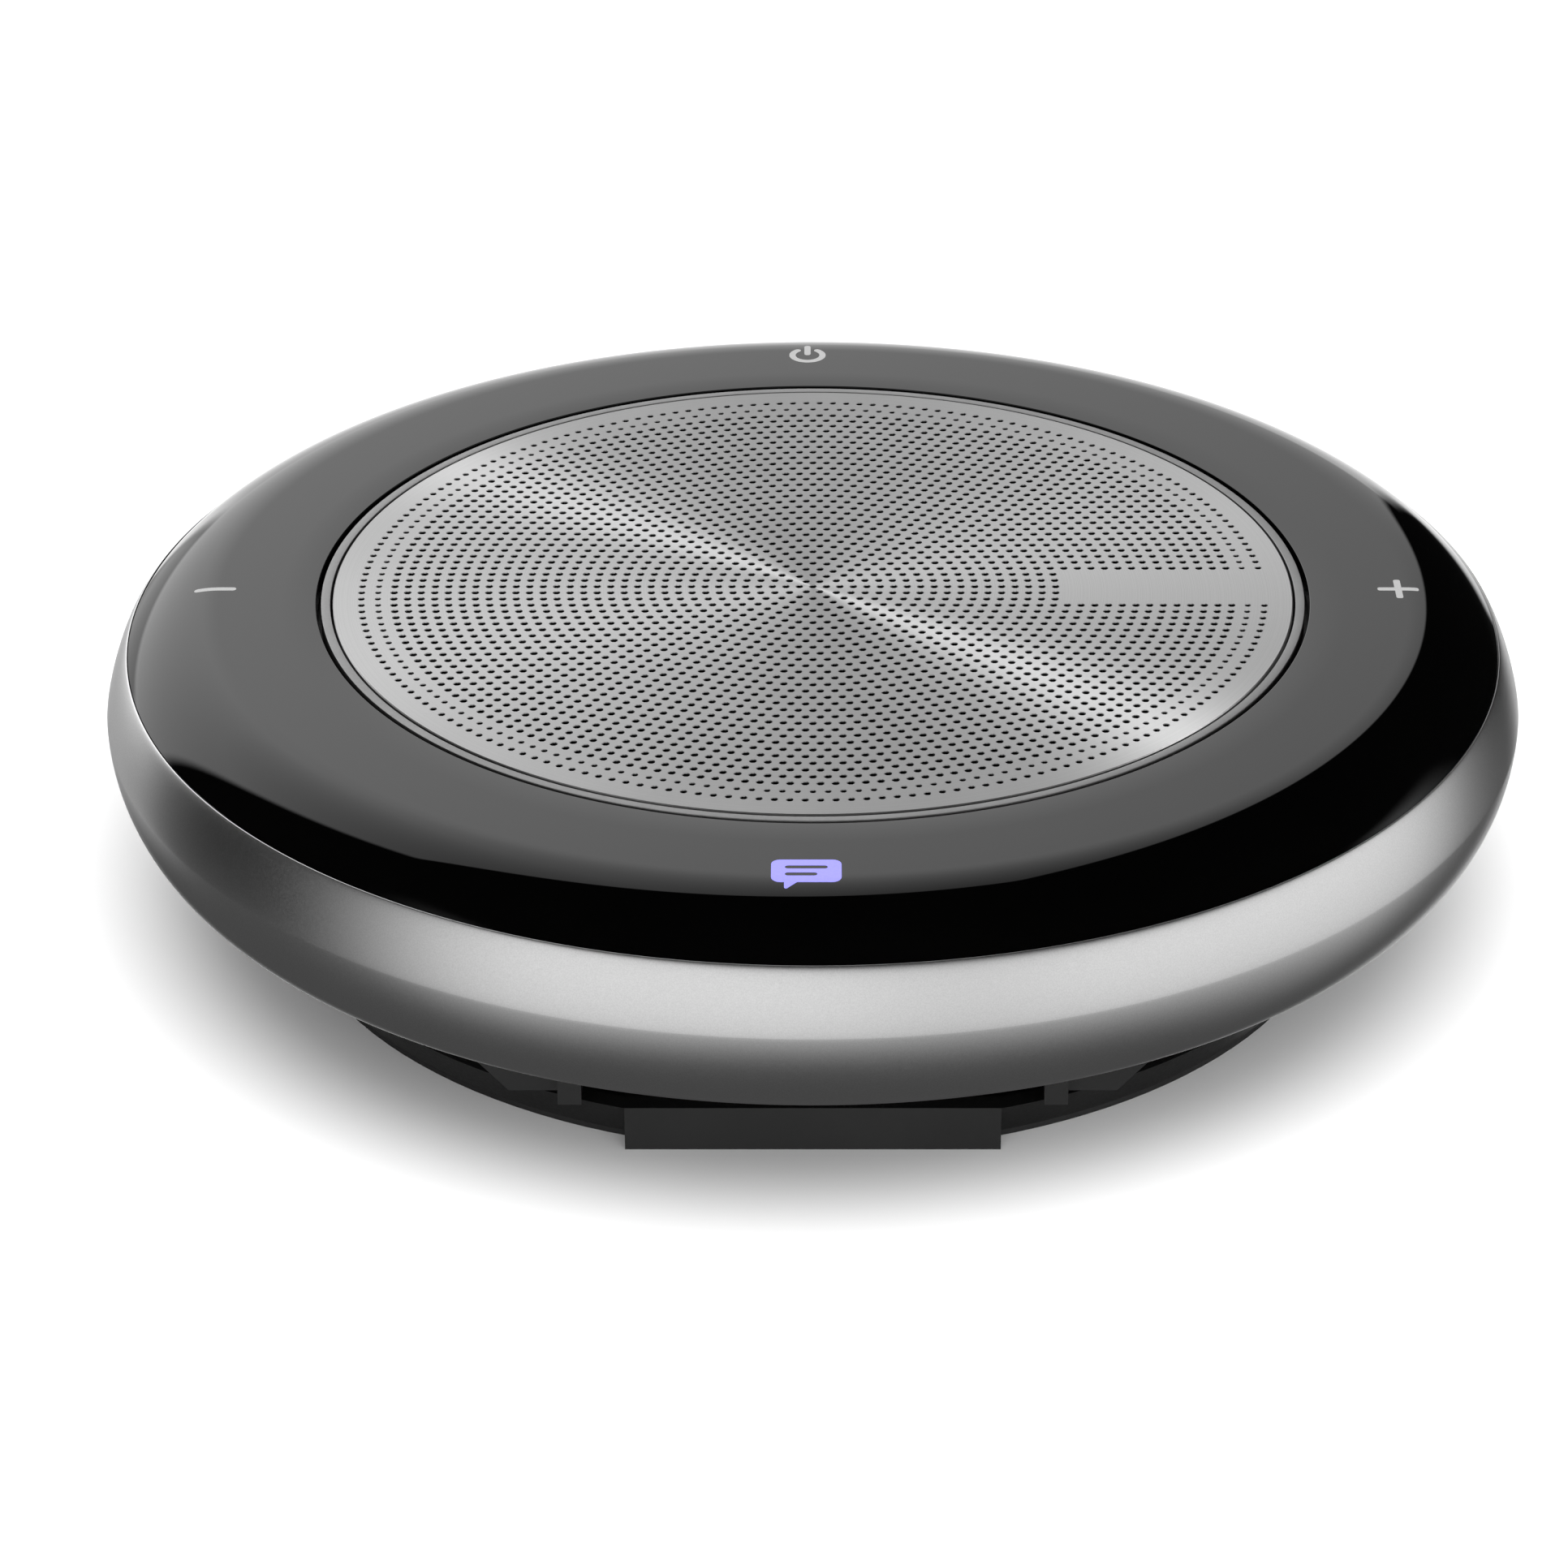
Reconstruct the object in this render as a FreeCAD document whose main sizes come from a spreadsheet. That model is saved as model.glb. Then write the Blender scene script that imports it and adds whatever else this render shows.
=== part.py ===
# Round table-top conference speakerphone, in millimetres.
# +Z is up, the table is at Z = 0, the axis of the round body is the Z axis and the front is at -Y.
import FreeCAD, Part
import math
import os
import re
import Sketcher

V = FreeCAD.Vector
Z_AXIS = V(0, 0, 1)
doc = FreeCAD.newDocument("speakerphone")

# ---------------------------------------------------------------- driving dimensions
SIZES = {
    # overall and outer skin
    "height": 28.2,
    "outer_radius": 60.0,
    "ring_equator_drop": 8.86,
    "ring_bottom_drop": 17.67,
    "ring_undercut": 5.87,
    "ring_upper_power": 1.277,
    "ring_lower_power": 1.887,
    "ring_wall": 1.6,
    "ring_lip": 0.3,
    "bezel_inset": 2.05,
    "bezel_roll_width": 7.75,
    "bezel_roll_radius": 10.3,
    "bezel_wall": 1.5,
    "bezel_skirt_wall": 1.2,
    "grille_radius": 40.6,
    "grille_thick": 0.6,
    "mesh_thick": 0.15,
    "trim_gap": 0.2,
    "trim_wall": 0.8,
    "trim_drop": 0.05,
    "trim_ledge": 2.2,
    "trim_foot": 1.0,
    "bezel_gap": 0.4,
    # middle frame, below the trim ring and the bezel
    "frame_seat_drop": 2.7,
    "frame_thick": 1.5,
    "frame_step": 1.0,
    # floor pan, cable hub, tray and foot
    "pan_recess": 0.2,
    "pan_wall": 1.6,
    "pan_lip": 1.0,
    "hub_radius": 32.0,
    "hub_wall": 1.6,
    "hub_flange": 2.0,
    "tray_radius": 47.15,
    "tray_foot_radius": 45.3,
    "tray_rim_top": 3.85,
    "tray_rim_wall": 1.7,
    "tray_floor": 1.6,
    "facet_width": 30.0,
    "facet_depth": 44.68,
    "facet_wall": 1.78,
    "foot_thick": 0.6,
    "foot_inset": 0.15,
    # guides for the stowed plug, at the front of the groove
    "garage_width": 40.6,
    "garage_wall": 1.9,
    "garage_front": 44.4,
    "garage_back": 35.0,
    "guide_front": 42.2,
    "guide_thick": 2.0,
    "guide_foot_width": 48.6,
    "guide_top_width": 61.0,
    "rim_clearance": 0.15,
    # inlet for the cord
    "inlet_angle": 67.5,
    "inlet_height": 6.6,
    "inlet_bore": 2.1,
    "gland_wall": 1.0,
    "gland_flange": 0.7,
    "gland_proud": 0.6,
    # loudspeaker
    "basket_radius": 25.4,
    "basket_rim": 1.0,
    "gasket_thick": 0.6,
    "cone_edge_radius": 20.4,
    "coil_radius": 7.8,
    "coil_wire": 0.4,
    "coil_length": 4.4,
    "former_wall": 0.15,
    "pole_gap": 0.35,
    "plate_thick": 2.0,
    "magnet_thick": 5.0,
    "magnet_radius": 15.6,
    "yoke_thick": 2.0,
    "driver_depth": 19.0,
    "cone_thick": 0.5,
    "surround_thick": 0.3,
    "cap_rise": 2.3,
    "cap_thick": 0.3,
    # sealed chamber behind the loudspeaker
    "chamber_gap": 0.6,
    "chamber_wall": 1.2,
    "chamber_cup_gap": 2.9,
    "chamber_flange": 4.6,
    "chamber_flange_thick": 3.0,
    # boards and electronics
    "board_thick": 1.6,
    "board_lift": 3.0,
    "board_inner_gap": 1.8,
    "board_outer_radius": 50.5,
    "board_battery_edge": 24.0,
    "touch_board_thick": 0.8,
    "touch_board_width": 8.5,
    "flex_thick": 0.25,
    "flex_width": 3.0,
    "guide_block_length": 8.0,
    "guide_block_width": 2.8,
    "guide_block_thick": 0.8,
    "led_length": 1.6,
    "led_width": 0.8,
    "battery_length": 36.0,
    "battery_thick": 7.6,
    "battery_tape": 0.9,
    "battery_gap": 0.7,
    "mic_length": 3.5,
    "mic_width": 2.65,
    "mic_thick": 1.0,
    "mic_boot_wall": 0.8,
    "mic_boot_roof": 1.2,
    "mic_port": 0.3,
    # screws
    "screw_radius": 1.0,
    "screw_head_radius": 1.9,
    "screw_head_thick": 0.9,
    "screw_play": 0.05,
    "screw_length": 5.0,
    "short_screw_length": 2.6,
    "boss_radius": 3.0,
    "boss_circle": 46.0,
    "chamber_screw_inset": 2.3,
    "frame_edge_inset": 4.0,
    "frame_bore_inset": 3.2,
    "bezel_skirt_play": 0.1,
    "pan_play": 0.2,
    "pan_lip_reach": 2.7,
    "basket_wall_inset": 2.8,
    "basket_bore_inset": 3.6,
    "cone_neck_rise": 3.5,
    "cone_top_drop": 0.7,
    "magnet_bore_play": 1.05,
    "board_screw_edge": 1.5,
    "head_play": 0.2,
}

# Heights and radii that follow from the driving dimensions.
DERIVED = {
    "seam_radius": "outer_radius - bezel_inset",
    "bezel_flat_radius": "seam_radius - bezel_roll_width",
    "trim_bore": "grille_radius + trim_gap",
    "trim_outer": "trim_bore + trim_wall",
    "bezel_bore": "trim_outer + bezel_gap",
    "seat_z": "height - frame_seat_drop",
    "frame_under_z": "seat_z - frame_thick",
    "shelf_z": "seat_z - frame_step",
    "shelf_under_z": "shelf_z - frame_thick",
    "frame_step_radius": "bezel_bore + bezel_skirt_wall + bezel_skirt_play",
    "frame_outer": "outer_radius - frame_edge_inset",
    "frame_bore": "basket_radius - frame_bore_inset",
    "ring_bottom_z": "height - ring_bottom_drop",
    "ring_bottom_radius": "outer_radius - ring_undercut",
    "ring_flange_z": "ring_bottom_z + ring_wall",
    "ring_bore": "ring_bottom_radius - ring_wall",
    "pan_under_z": "ring_bottom_z + pan_recess",
    "pan_top_z": "pan_under_z + pan_wall",
    "pan_radius": "ring_bore - pan_play",
    "pan_lip_radius": "ring_bore + pan_lip_reach",
    "tray_top_z": "foot_thick + tray_floor",
    "tray_bore": "tray_radius - tray_rim_wall",
    "basket_top_z": "frame_under_z - gasket_thick",
    "basket_rim_z": "basket_top_z - basket_rim",
    "yoke_z": "basket_top_z - driver_depth",
    "magnet_z": "yoke_z + yoke_thick",
    "plate_z": "magnet_z + magnet_thick",
    "plate_top_z": "plate_z + plate_thick",
    "basket_wall": "basket_radius - basket_wall_inset",
    "basket_bore": "basket_radius - basket_bore_inset",
    "coil_z": "plate_z + plate_thick / 2 - coil_length / 2",
    "neck_z": "plate_top_z + cone_neck_rise",
    "cone_top_z": "basket_top_z - cone_top_drop",
    "pole_radius": "coil_radius - former_wall - pole_gap",
    "plate_bore": "coil_radius + coil_wire + pole_gap",
    "magnet_bore": "plate_bore + magnet_bore_play",
    "chamber_bore": "basket_radius + chamber_gap",
    "chamber_radius": "chamber_bore + chamber_wall",
    "cup_bore": "magnet_radius + chamber_cup_gap",
    "cup_radius": "cup_bore + chamber_wall",
    "cup_floor_z": "yoke_z - chamber_gap",
    "flange_radius": "chamber_radius + chamber_flange",
    "flange_z": "frame_under_z - chamber_flange_thick",
    "board_z": "pan_top_z + board_lift",
    "board_top_z": "board_z + board_thick",
    "touch_board_top_z": "shelf_z + touch_board_thick",
    "bezel_under_z": "height - bezel_wall",
    "battery_z": "pan_top_z + battery_tape",
    "battery_top_z": "battery_z + battery_thick",
    "battery_x": "flange_radius + battery_gap",
    "battery_width": "ring_bore - battery_x",
    "garage_z": "tray_rim_top + rim_clearance",
    "hub_bore": "hub_radius - hub_wall",
    "hub_flange_bore": "(cup_radius + hub_bore) / 2",
    "base_screw_circle": "(hub_flange_bore + hub_bore) / 2",
    "board_screw_circle": "chamber_radius + board_inner_gap + boss_radius + board_screw_edge",
    "foot_radius": "tray_foot_radius - foot_inset",
}

sheet = doc.addObject("Spreadsheet::Sheet", "dims")
for row, (alias, number) in enumerate(SIZES.items(), 1):
    sheet.set("A%d" % row, alias)
    sheet.set("B%d" % row, str(number))
    sheet.setAlias("B%d" % row, alias)
doc.recompute()

NAME = re.compile(r"\b[a-z_][a-z_0-9]*\b")
FUNCTIONS = ("cos", "sin", "sqrt", "deg")


def expression(text):
    """Turn a formula of size names into an expression on the sheet."""
    def replace(match):
        word = match.group(0)
        if word in DERIVED:
            return "(" + expression(DERIVED[word]) + ")"
        return word if word in FUNCTIONS else "dims." + word
    return NAME.sub(replace, str(text))


probe = doc.addObject("Part::Vertex", "probe")


def size(text):
    """The number that a formula of size names gives."""
    probe.setExpression("X", expression(text))
    probe.recompute()
    return probe.X.Value


# ---------------------------------------------------------------- ways of making a piece
nodes = []


def keep(piece, label):
    """Make a finished object one of the kept pieces."""
    piece.Label = label
    nodes.append(piece)
    return piece


def bind(piece, **formulas):
    for name, text in formulas.items():
        piece.setExpression(name.replace("__", "."), expression(text))
    return piece


def place(piece, x="0", y="0", z="0"):
    piece.setExpression("Placement.Base.x", expression(x))
    piece.setExpression("Placement.Base.y", expression(y))
    piece.setExpression("Placement.Base.z", expression(z))
    return piece


def cylinder(name, radius, tall, z, x="0", y="0"):
    piece = doc.addObject("Part::Cylinder", name)
    bind(piece, Radius=radius, Height=tall)
    return place(piece, x, y, z)


def block(name, x, y, z, long, wide, tall):
    """A box between x and x + long, y and y + wide, z and z + tall."""
    piece = doc.addObject("Part::Box", name)
    bind(piece, Length=long, Width=wide, Height=tall)
    return place(piece, x, y, z)


def polar_block(name, angle, reach, z, radial, across, tall):
    """A box centred on a ray from the axis, its middle at a distance reach."""
    piece = doc.addObject("Part::Box", name)
    bind(piece, Length=radial, Width=across, Height=tall)
    piece.Placement = FreeCAD.Placement(V(0, 0, 0), FreeCAD.Rotation(Z_AXIS, angle))
    ray_x, ray_y = round(math.cos(math.radians(angle)), 9), round(math.sin(math.radians(angle)), 9)
    near = "(%s - (%s) / 2)" % (reach, radial)
    side = "(%s) / 2" % across
    return place(piece, "%s * %s + %s * %s" % (near, ray_x, side, ray_y),
                 "%s * %s - %s * %s" % (near, ray_y, side, ray_x), z)


def cut(name, base, tools):
    piece = doc.addObject("Part::Cut", name)
    piece.Base = base
    piece.Tool = tools[0] if len(tools) == 1 else fuse(name + "_tools", tools)
    return piece


def fuse(name, pieces):
    piece = doc.addObject("Part::MultiFuse", name)
    piece.Shapes = pieces
    return piece


def compound(name, pieces):
    piece = doc.addObject("Part::Compound", name)
    piece.Links = pieces
    return piece


def tube(name, outer, inner, tall, z):
    return cut(name, cylinder(name + "_outer", outer, tall, z), [cylinder(name + "_bore", inner, tall, z)])


def sketch_on(body, name, plane_role, outline):
    """A closed sketch of straight lines, each corner held by two bound distances."""
    sketch = body.newObject("Sketcher::SketchObject", name)
    plane = [f for f in body.Origin.OriginFeatures if f.Role == plane_role][0]
    sketch.AttachmentSupport = [(plane, "")]
    sketch.MapMode = "FlatFace"
    corners = [V(size(x), size(y), 0) for x, y in outline]
    count = len(corners)
    for i in range(count):
        sketch.addGeometry(Part.LineSegment(corners[i], corners[(i + 1) % count]), False)
    for i in range(count):
        sketch.addConstraint(Sketcher.Constraint("Coincident", i, 2, (i + 1) % count, 1))
    for i, (corner, formulas) in enumerate(zip(corners, outline)):
        for kind, axis, value, text in (("DistanceX", -2, corner.x, formulas[0]),
                                        ("DistanceY", -1, corner.y, formulas[1])):
            if text == "0":
                sketch.addConstraint(Sketcher.Constraint("PointOnObject", i, 1, axis))
            else:
                index = sketch.addConstraint(Sketcher.Constraint(kind, -1, 1, i, 1, value))
                sketch.setExpression("Constraints[%d]" % index, expression(text))
    return sketch


def turned(name, outline):
    """A body of revolution; outline is corners of (radius, height)."""
    body = doc.addObject("PartDesign::Body", name)
    sketch = sketch_on(body, name + "_profile", "XZ_Plane", outline)
    turn = body.newObject("PartDesign::Revolution", name + "_turn")
    turn.Profile = sketch
    turn.ReferenceAxis = (sketch, ["V_Axis"])
    turn.Angle = 360
    sketch.Visibility = False
    return body


def spun(name, edges):
    """A body of revolution with a curved profile, made from edges in the XZ plane."""
    piece = doc.addObject("Part::Feature", name)
    face = Part.Face(Part.Wire(Part.__sortEdges__(edges)))
    piece.Shape = Part.makeSolid(face.revolve(V(0, 0, 0), Z_AXIS, 360))
    return piece


def line(start, end):
    return Part.LineSegment(V(start[0], 0, start[1]), V(end[0], 0, end[1])).toShape()


def arc(start, middle, end):
    return Part.Arc(*[V(p[0], 0, p[1]) for p in (start, middle, end)]).toShape()


def curve(points):
    spline = Part.BSplineCurve()
    spline.interpolate([V(r, 0, z) for r, z in points])
    return spline.toShape()


def path(points):
    return [line(a, b) for a, b in zip(points, points[1:])]


def around(angles, circle):
    """Places on a circle about the axis, as formulas of x and y."""
    return [("%s * %.9f" % (circle, math.cos(math.radians(a))),
             "%s * %.9f" % (circle, math.sin(math.radians(a)))) for a in angles]


def holes(name, places, radius, z, tall):
    return [cylinder("%s_%d" % (name, i), radius, tall, z, x, y) for i, (x, y) in enumerate(places)]


def screws(label, places, seat_z, long, upward=False):
    """A group of equal pan-head screws; seat_z is where the underside of each head lies."""
    group = []
    head_z = "%s - screw_head_thick" % seat_z if upward else seat_z
    shank_z = seat_z if upward else "%s - %s" % (seat_z, long)
    slot_z = head_z if upward else "%s + screw_head_thick / 2" % seat_z
    for i, (x, y) in enumerate(places):
        name = "%s_%d" % (label, i)
        head = cylinder(name + "_head", "screw_head_radius", "screw_head_thick", head_z, x, y)
        shank = cylinder(name + "_shank", "screw_radius", long, shank_z, x, y)
        slot = doc.addObject("Part::Prism", name + "_drive")
        slot.Polygon = 6
        bind(slot, Circumradius="screw_radius * 0.8", Height="screw_head_thick / 2")
        place(slot, x, y, slot_z)
        group.append(cut(name, fuse(name + "_blank", [head, shank]), [slot]))
    return keep(compound(label, group), label)


# ---------------------------------------------------------------- screw places
frame_places = around((30, 90, 150, 210, 270, 330), "boss_circle")
board_places = around((20, 110, 250), "board_screw_circle")
chamber_places = around((0, 60, 120, 180, 240, 300), "(chamber_radius + chamber_screw_inset)")
base_places = around((45, 135, 225, 315), "base_screw_circle")


# ---------------------------------------------------------------- outer skin
def make_ring():
    """Metal-finish housing ring: two superelliptic quarters outside, a wall's thickness within."""
    equator = size("height - ring_equator_drop")
    bottom = size("ring_bottom_z")
    lip_r, lip_z = size("seam_radius + ring_lip"), seam_z
    wall, radius = size("ring_wall"), size("outer_radius")
    foot = size("ring_bottom_radius")

    def quarter(base_r, end_z, power, start, stop, steps=10):
        points = []
        for i in range(steps + 1):
            turn = math.radians(start + (stop - start) * i / steps)
            r = base_r + (radius - base_r) * math.cos(turn) ** (2 / power)
            z = equator + (end_z - equator) * math.sin(turn) ** (2 / power)
            points.append((r, z))
        return points

    upper = quarter(lip_r, lip_z, size("ring_upper_power"), 90, 0)
    lower = quarter(foot, bottom, size("ring_lower_power"), 0, 90)
    inner = [(r - wall, z) for r, z in upper + lower[1:]]
    under_lip = lip_z - wall / 2
    flange_top = bottom + wall
    inner = [p for p in inner if flange_top < p[1] < under_lip - 0.1]
    bore = size("ring_bore")
    lip_bore = size("frame_outer + 0.2")
    first, last = (inner[0][0], under_lip), (inner[-1][0], flange_top)
    edges = [curve(upper), curve(lower)]
    edges += path([lower[-1], (bore, bottom), (bore, flange_top), last])
    edges += [curve([last] + inner[::-1] + [first])]
    edges += path([first, (lip_bore, under_lip), (lip_bore, lip_z), upper[0]])
    return keep(spun("housing_ring", edges), "housing_ring")


def make_bezel():
    """Gloss touch bezel: flat near the grille, then rolled down to the seam."""
    top, under, seat = size("height"), size("bezel_under_z"), size("seat_z")
    bore, skirt = size("bezel_bore"), size("bezel_bore + bezel_skirt_wall")
    flat, edge, roll = size("bezel_flat_radius"), size("seam_radius"), size("bezel_roll_radius")
    centre_z = top - roll

    def on_roll(radius, r):
        return (r, centre_z + math.sqrt(radius ** 2 - (r - flat) ** 2))

    inside = roll - size("bezel_wall")
    inner_edge = flat + math.sqrt(inside ** 2 - (seam_z - centre_z) ** 2)
    edges = path([on_roll(inside, inner_edge), (edge, seam_z)])
    edges += [arc((edge, seam_z), on_roll(roll, (flat + edge) / 2), (flat, top))]
    edges += path([(flat, top), (bore, top), (bore, seat), (skirt, seat), (skirt, under), (flat, under)])
    edges += [arc((flat, under), on_roll(inside, (flat + inner_edge) / 2), (inner_edge, seam_z))]
    return keep(spun("touch_bezel", edges), "touch_bezel")


seam_z = (size("height - bezel_roll_radius")
          + math.sqrt(size("bezel_roll_radius") ** 2 - size("bezel_roll_width") ** 2))
make_bezel()
make_ring()

keep(cylinder("grille_disc", "grille_radius", "grille_thick", "height - grille_thick"), "speaker_grille")
keep(cylinder("mesh_disc", "grille_radius - trim_ledge / 2 + 0.1", "mesh_thick",
              "height - grille_thick - mesh_thick"), "acoustic_mesh")

keep(turned("trim", [
    ("trim_outer - trim_foot", "seat_z"),
    ("trim_outer", "seat_z"),
    ("trim_outer", "height - trim_drop"),
    ("trim_bore", "height - trim_drop"),
    ("trim_bore", "height - grille_thick"),
    ("trim_bore - trim_ledge / 2", "height - grille_thick"),
    ("trim_bore - trim_ledge / 2", "height - grille_thick - mesh_thick"),
    ("trim_bore - trim_ledge", "height - grille_thick - mesh_thick"),
    ("trim_bore - trim_ledge", "height - grille_thick - mesh_thick - trim_wall"),
    ("trim_outer - trim_foot", "height - grille_thick - mesh_thick - trim_wall"),
]), "trim_ring")


# ---------------------------------------------------------------- middle frame
MIC_ANGLES = (45, 135, 225, 315)
mic_places = around(MIC_ANGLES, "(trim_outer + bezel_gap / 2)")
frame_plate = turned("frame_plate", [
    ("frame_bore", "frame_under_z"),
    ("frame_step_radius - 0.2", "frame_under_z"),
    ("frame_step_radius - 0.2", "shelf_under_z"),
    ("frame_outer", "shelf_under_z"),
    ("frame_outer", "shelf_z"),
    ("frame_step_radius", "shelf_z"),
    ("frame_step_radius", "seat_z"),
    ("frame_bore", "seat_z"),
])
play_hole = "screw_radius + screw_play"
head_hole = "screw_head_radius + head_play"
keep(cut("frame_drilled", frame_plate,
         holes("frame_hole", frame_places, play_hole, "shelf_under_z", "frame_thick")
         + holes("frame_head", frame_places, head_hole, "shelf_z - screw_head_thick - 0.1", "2")
         + holes("chamber_hole", chamber_places, play_hole, "frame_under_z", "frame_thick")
         + holes("chamber_head", chamber_places, head_hole, "seat_z - screw_head_thick - 0.1", "2")
         + holes("mic_hole", mic_places, "mic_port", "frame_under_z", "frame_thick")), "upper_frame")

# ---------------------------------------------------------------- floor pan and its bosses
pan_plate = turned("pan_plate", [
    ("cup_radius + 0.6", "pan_under_z"),
    ("pan_radius", "pan_under_z"),
    ("pan_radius", "ring_flange_z"),
    ("pan_lip_radius", "ring_flange_z"),
    ("pan_lip_radius", "ring_flange_z + pan_lip"),
    ("pan_radius - pan_wall", "ring_flange_z + pan_lip"),
    ("pan_radius - pan_wall", "pan_top_z"),
    ("cup_radius + 0.6", "pan_top_z"),
])
pan_bosses = holes("pan_boss", frame_places, "boss_radius", "pan_under_z", "shelf_under_z - pan_under_z")
board_posts = holes("board_post", board_places, "boss_radius - 0.6", "pan_under_z", "board_z - pan_under_z")
keep(cut("pan_drilled", fuse("pan_with_bosses", [pan_plate] + pan_bosses + board_posts),
         holes("boss_hole", frame_places, play_hole, "shelf_under_z - screw_length", "screw_length")
         + holes("post_hole", board_places, play_hole, "board_z - short_screw_length",
                 "short_screw_length")), "bottom_shell")

# ---------------------------------------------------------------- cable hub with the cord's inlet
hub_wall_ring = turned("hub_wall_ring", [
    ("hub_flange_bore", "tray_top_z"),
    ("hub_radius", "tray_top_z"),
    ("hub_radius", "pan_under_z"),
    ("hub_flange_bore", "pan_under_z"),
    ("hub_flange_bore", "pan_under_z - hub_flange"),
    ("hub_bore", "pan_under_z - hub_flange"),
    ("hub_bore", "tray_top_z + hub_flange"),
    ("hub_flange_bore", "tray_top_z + hub_flange"),
])


def radial_cylinder(name, radius, start, stop):
    """A cylinder along the inlet's ray, from one distance from the axis to another."""
    angle = size("inlet_angle")
    piece = doc.addObject("Part::Cylinder", name)
    bind(piece, Radius=radius, Height="%s - (%s)" % (stop, start))
    across = FreeCAD.Rotation(V(0, 1, 0), 90)
    piece.Placement = FreeCAD.Placement(V(0, 0, 0), FreeCAD.Rotation(Z_AXIS, angle).multiply(across))
    return place(piece, "(%s) * cos(inlet_angle * 1deg)" % start,
                 "(%s) * sin(inlet_angle * 1deg)" % start, "inlet_height")


inner_face = "hub_bore - gland_flange"
outer_face = "hub_radius + gland_proud"
gland_body = "inlet_bore + gland_wall"
keep(cut("hub_drilled", hub_wall_ring,
         [radial_cylinder("gland_seat", gland_body + " + 0.05", "hub_bore - 2", "hub_radius + 2"),
          radial_cylinder("gland_flange_seat", gland_body + " + 0.55", "hub_bore - 2", "hub_bore - 0.1")]
         + holes("hub_screw_hole", base_places, play_hole, "tray_top_z", "hub_flange")), "cable_hub")
keep(cut("gland_bored", fuse("gland_solid", [
    radial_cylinder("gland_barrel", gland_body, inner_face + " - 0.4", outer_face),
    radial_cylinder("gland_inner_flange", gland_body + " + 0.5", inner_face + " - 0.6",
                    "hub_bore - 0.4")]),
    [radial_cylinder("gland_bore", "inlet_bore", "hub_bore - 4", "hub_radius + 3")]), "cable_gland")

# ---------------------------------------------------------------- tray, facet and rubber foot
tray_dish = turned("tray_dish", [
    ("0", "foot_thick"),
    ("tray_foot_radius", "foot_thick"),
    ("tray_radius", "tray_rim_top"),
    ("tray_bore", "tray_rim_top"),
    ("tray_bore - (tray_radius - tray_foot_radius) / 2", "tray_top_z"),
    ("0", "tray_top_z"),
])
facet_cut = block("facet_cut", "-tray_radius", "-facet_depth - 10", "-1", "2 * tray_radius", "10", "8")
facet_wall = block("facet_block", "-facet_width / 2", "-facet_depth", "0",
                   "facet_width", "facet_wall", "tray_rim_top")
keep(cut("tray_drilled", fuse("tray_with_facet", [cut("tray_cut", tray_dish, [facet_cut]), facet_wall]),
         holes("tray_hole", base_places, play_hole, "foot_thick", "tray_floor")
         + holes("tray_head", base_places, head_hole, "foot_thick - 1", "screw_head_thick + 1.1")),
     "base_tray")
keep(cut("foot_cut", cylinder("foot_disc", "foot_radius", "foot_thick", "0"), [
    block("foot_chord", "-tray_radius", "-tray_radius", "-1", "2 * tray_radius",
          "tray_radius - facet_depth + facet_wall + 0.1", "3")]), "foot_pad")


# ---------------------------------------------------------------- guides for the stowed plug
def guide(name, side):
    """A plate beside the garage: its outer edge leans out towards the body."""
    body = doc.addObject("PartDesign::Body", name)
    outline = [("garage_width / 2 - 0.5", "garage_z"), ("guide_foot_width / 2", "garage_z"),
               ("guide_top_width / 2", "pan_under_z"), ("garage_width / 2 - 0.5", "pan_under_z")]
    sketch = sketch_on(body, name + "_profile", "XZ_Plane", outline)
    pad = body.newObject("PartDesign::Pad", name + "_pad")
    pad.Profile = sketch
    pad.setExpression("Length", expression("guide_thick"))
    sketch.Visibility = False
    if side > 0:
        place(body, "0", "guide_thick - guide_front", "0")
        return body
    mirror = doc.addObject("Part::Mirroring", name + "_mirror")
    mirror.Source = body
    mirror.Normal = V(1, 0, 0)
    place(body, "0", "guide_thick - guide_front", "0")
    return mirror


garage_tall = "pan_under_z - garage_z"
cheeks = [block("cheek_%d" % i, x, "-garage_front", "garage_z", "garage_wall",
                "garage_front - garage_back", garage_tall)
          for i, x in enumerate(("-garage_width / 2", "garage_width / 2 - garage_wall"))]
garage_rear = block("garage_rear", "-garage_width / 2", "-garage_back - garage_wall", "garage_z",
                    "garage_width", "garage_wall", garage_tall)
keep(fuse("garage_fused", cheeks + [garage_rear, guide("guide_right", 1), guide("guide_left", -1)]),
     "plug_garage")

# ---------------------------------------------------------------- loudspeaker, fixed parts
basket_shell = turned("basket_shell", [
    ("magnet_bore - 0.1", "plate_top_z"),
    ("magnet_radius + 0.3", "plate_top_z"),
    ("magnet_radius + 1", "plate_top_z + 1.2"),
    ("basket_wall", "basket_rim_z - 2.4"),
    ("basket_wall", "basket_rim_z"),
    ("basket_radius", "basket_rim_z"),
    ("basket_radius", "basket_top_z"),
    ("basket_bore", "basket_top_z"),
    ("basket_bore", "basket_rim_z - 2.2"),
    ("magnet_radius", "plate_top_z + 2.5"),
    ("magnet_radius", "plate_top_z + 1.8"),
    ("magnet_radius - 2.8", "plate_top_z + 1.8"),
    ("magnet_radius - 2.8", "plate_top_z + 0.8"),
    ("magnet_bore - 0.1", "plate_top_z + 0.8"),
])
windows = [block("window_%d" % i, x, y, "plate_top_z + 2.9", long, wide, "3")
           for i, (x, y, long, wide) in enumerate((
               ("-basket_radius", "-4.5", "2 * basket_radius", "9"),
               ("-4.5", "-basket_radius", "9", "2 * basket_radius")))]
keep(cut("basket_windowed", basket_shell, windows), "speaker_basket")
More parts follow.
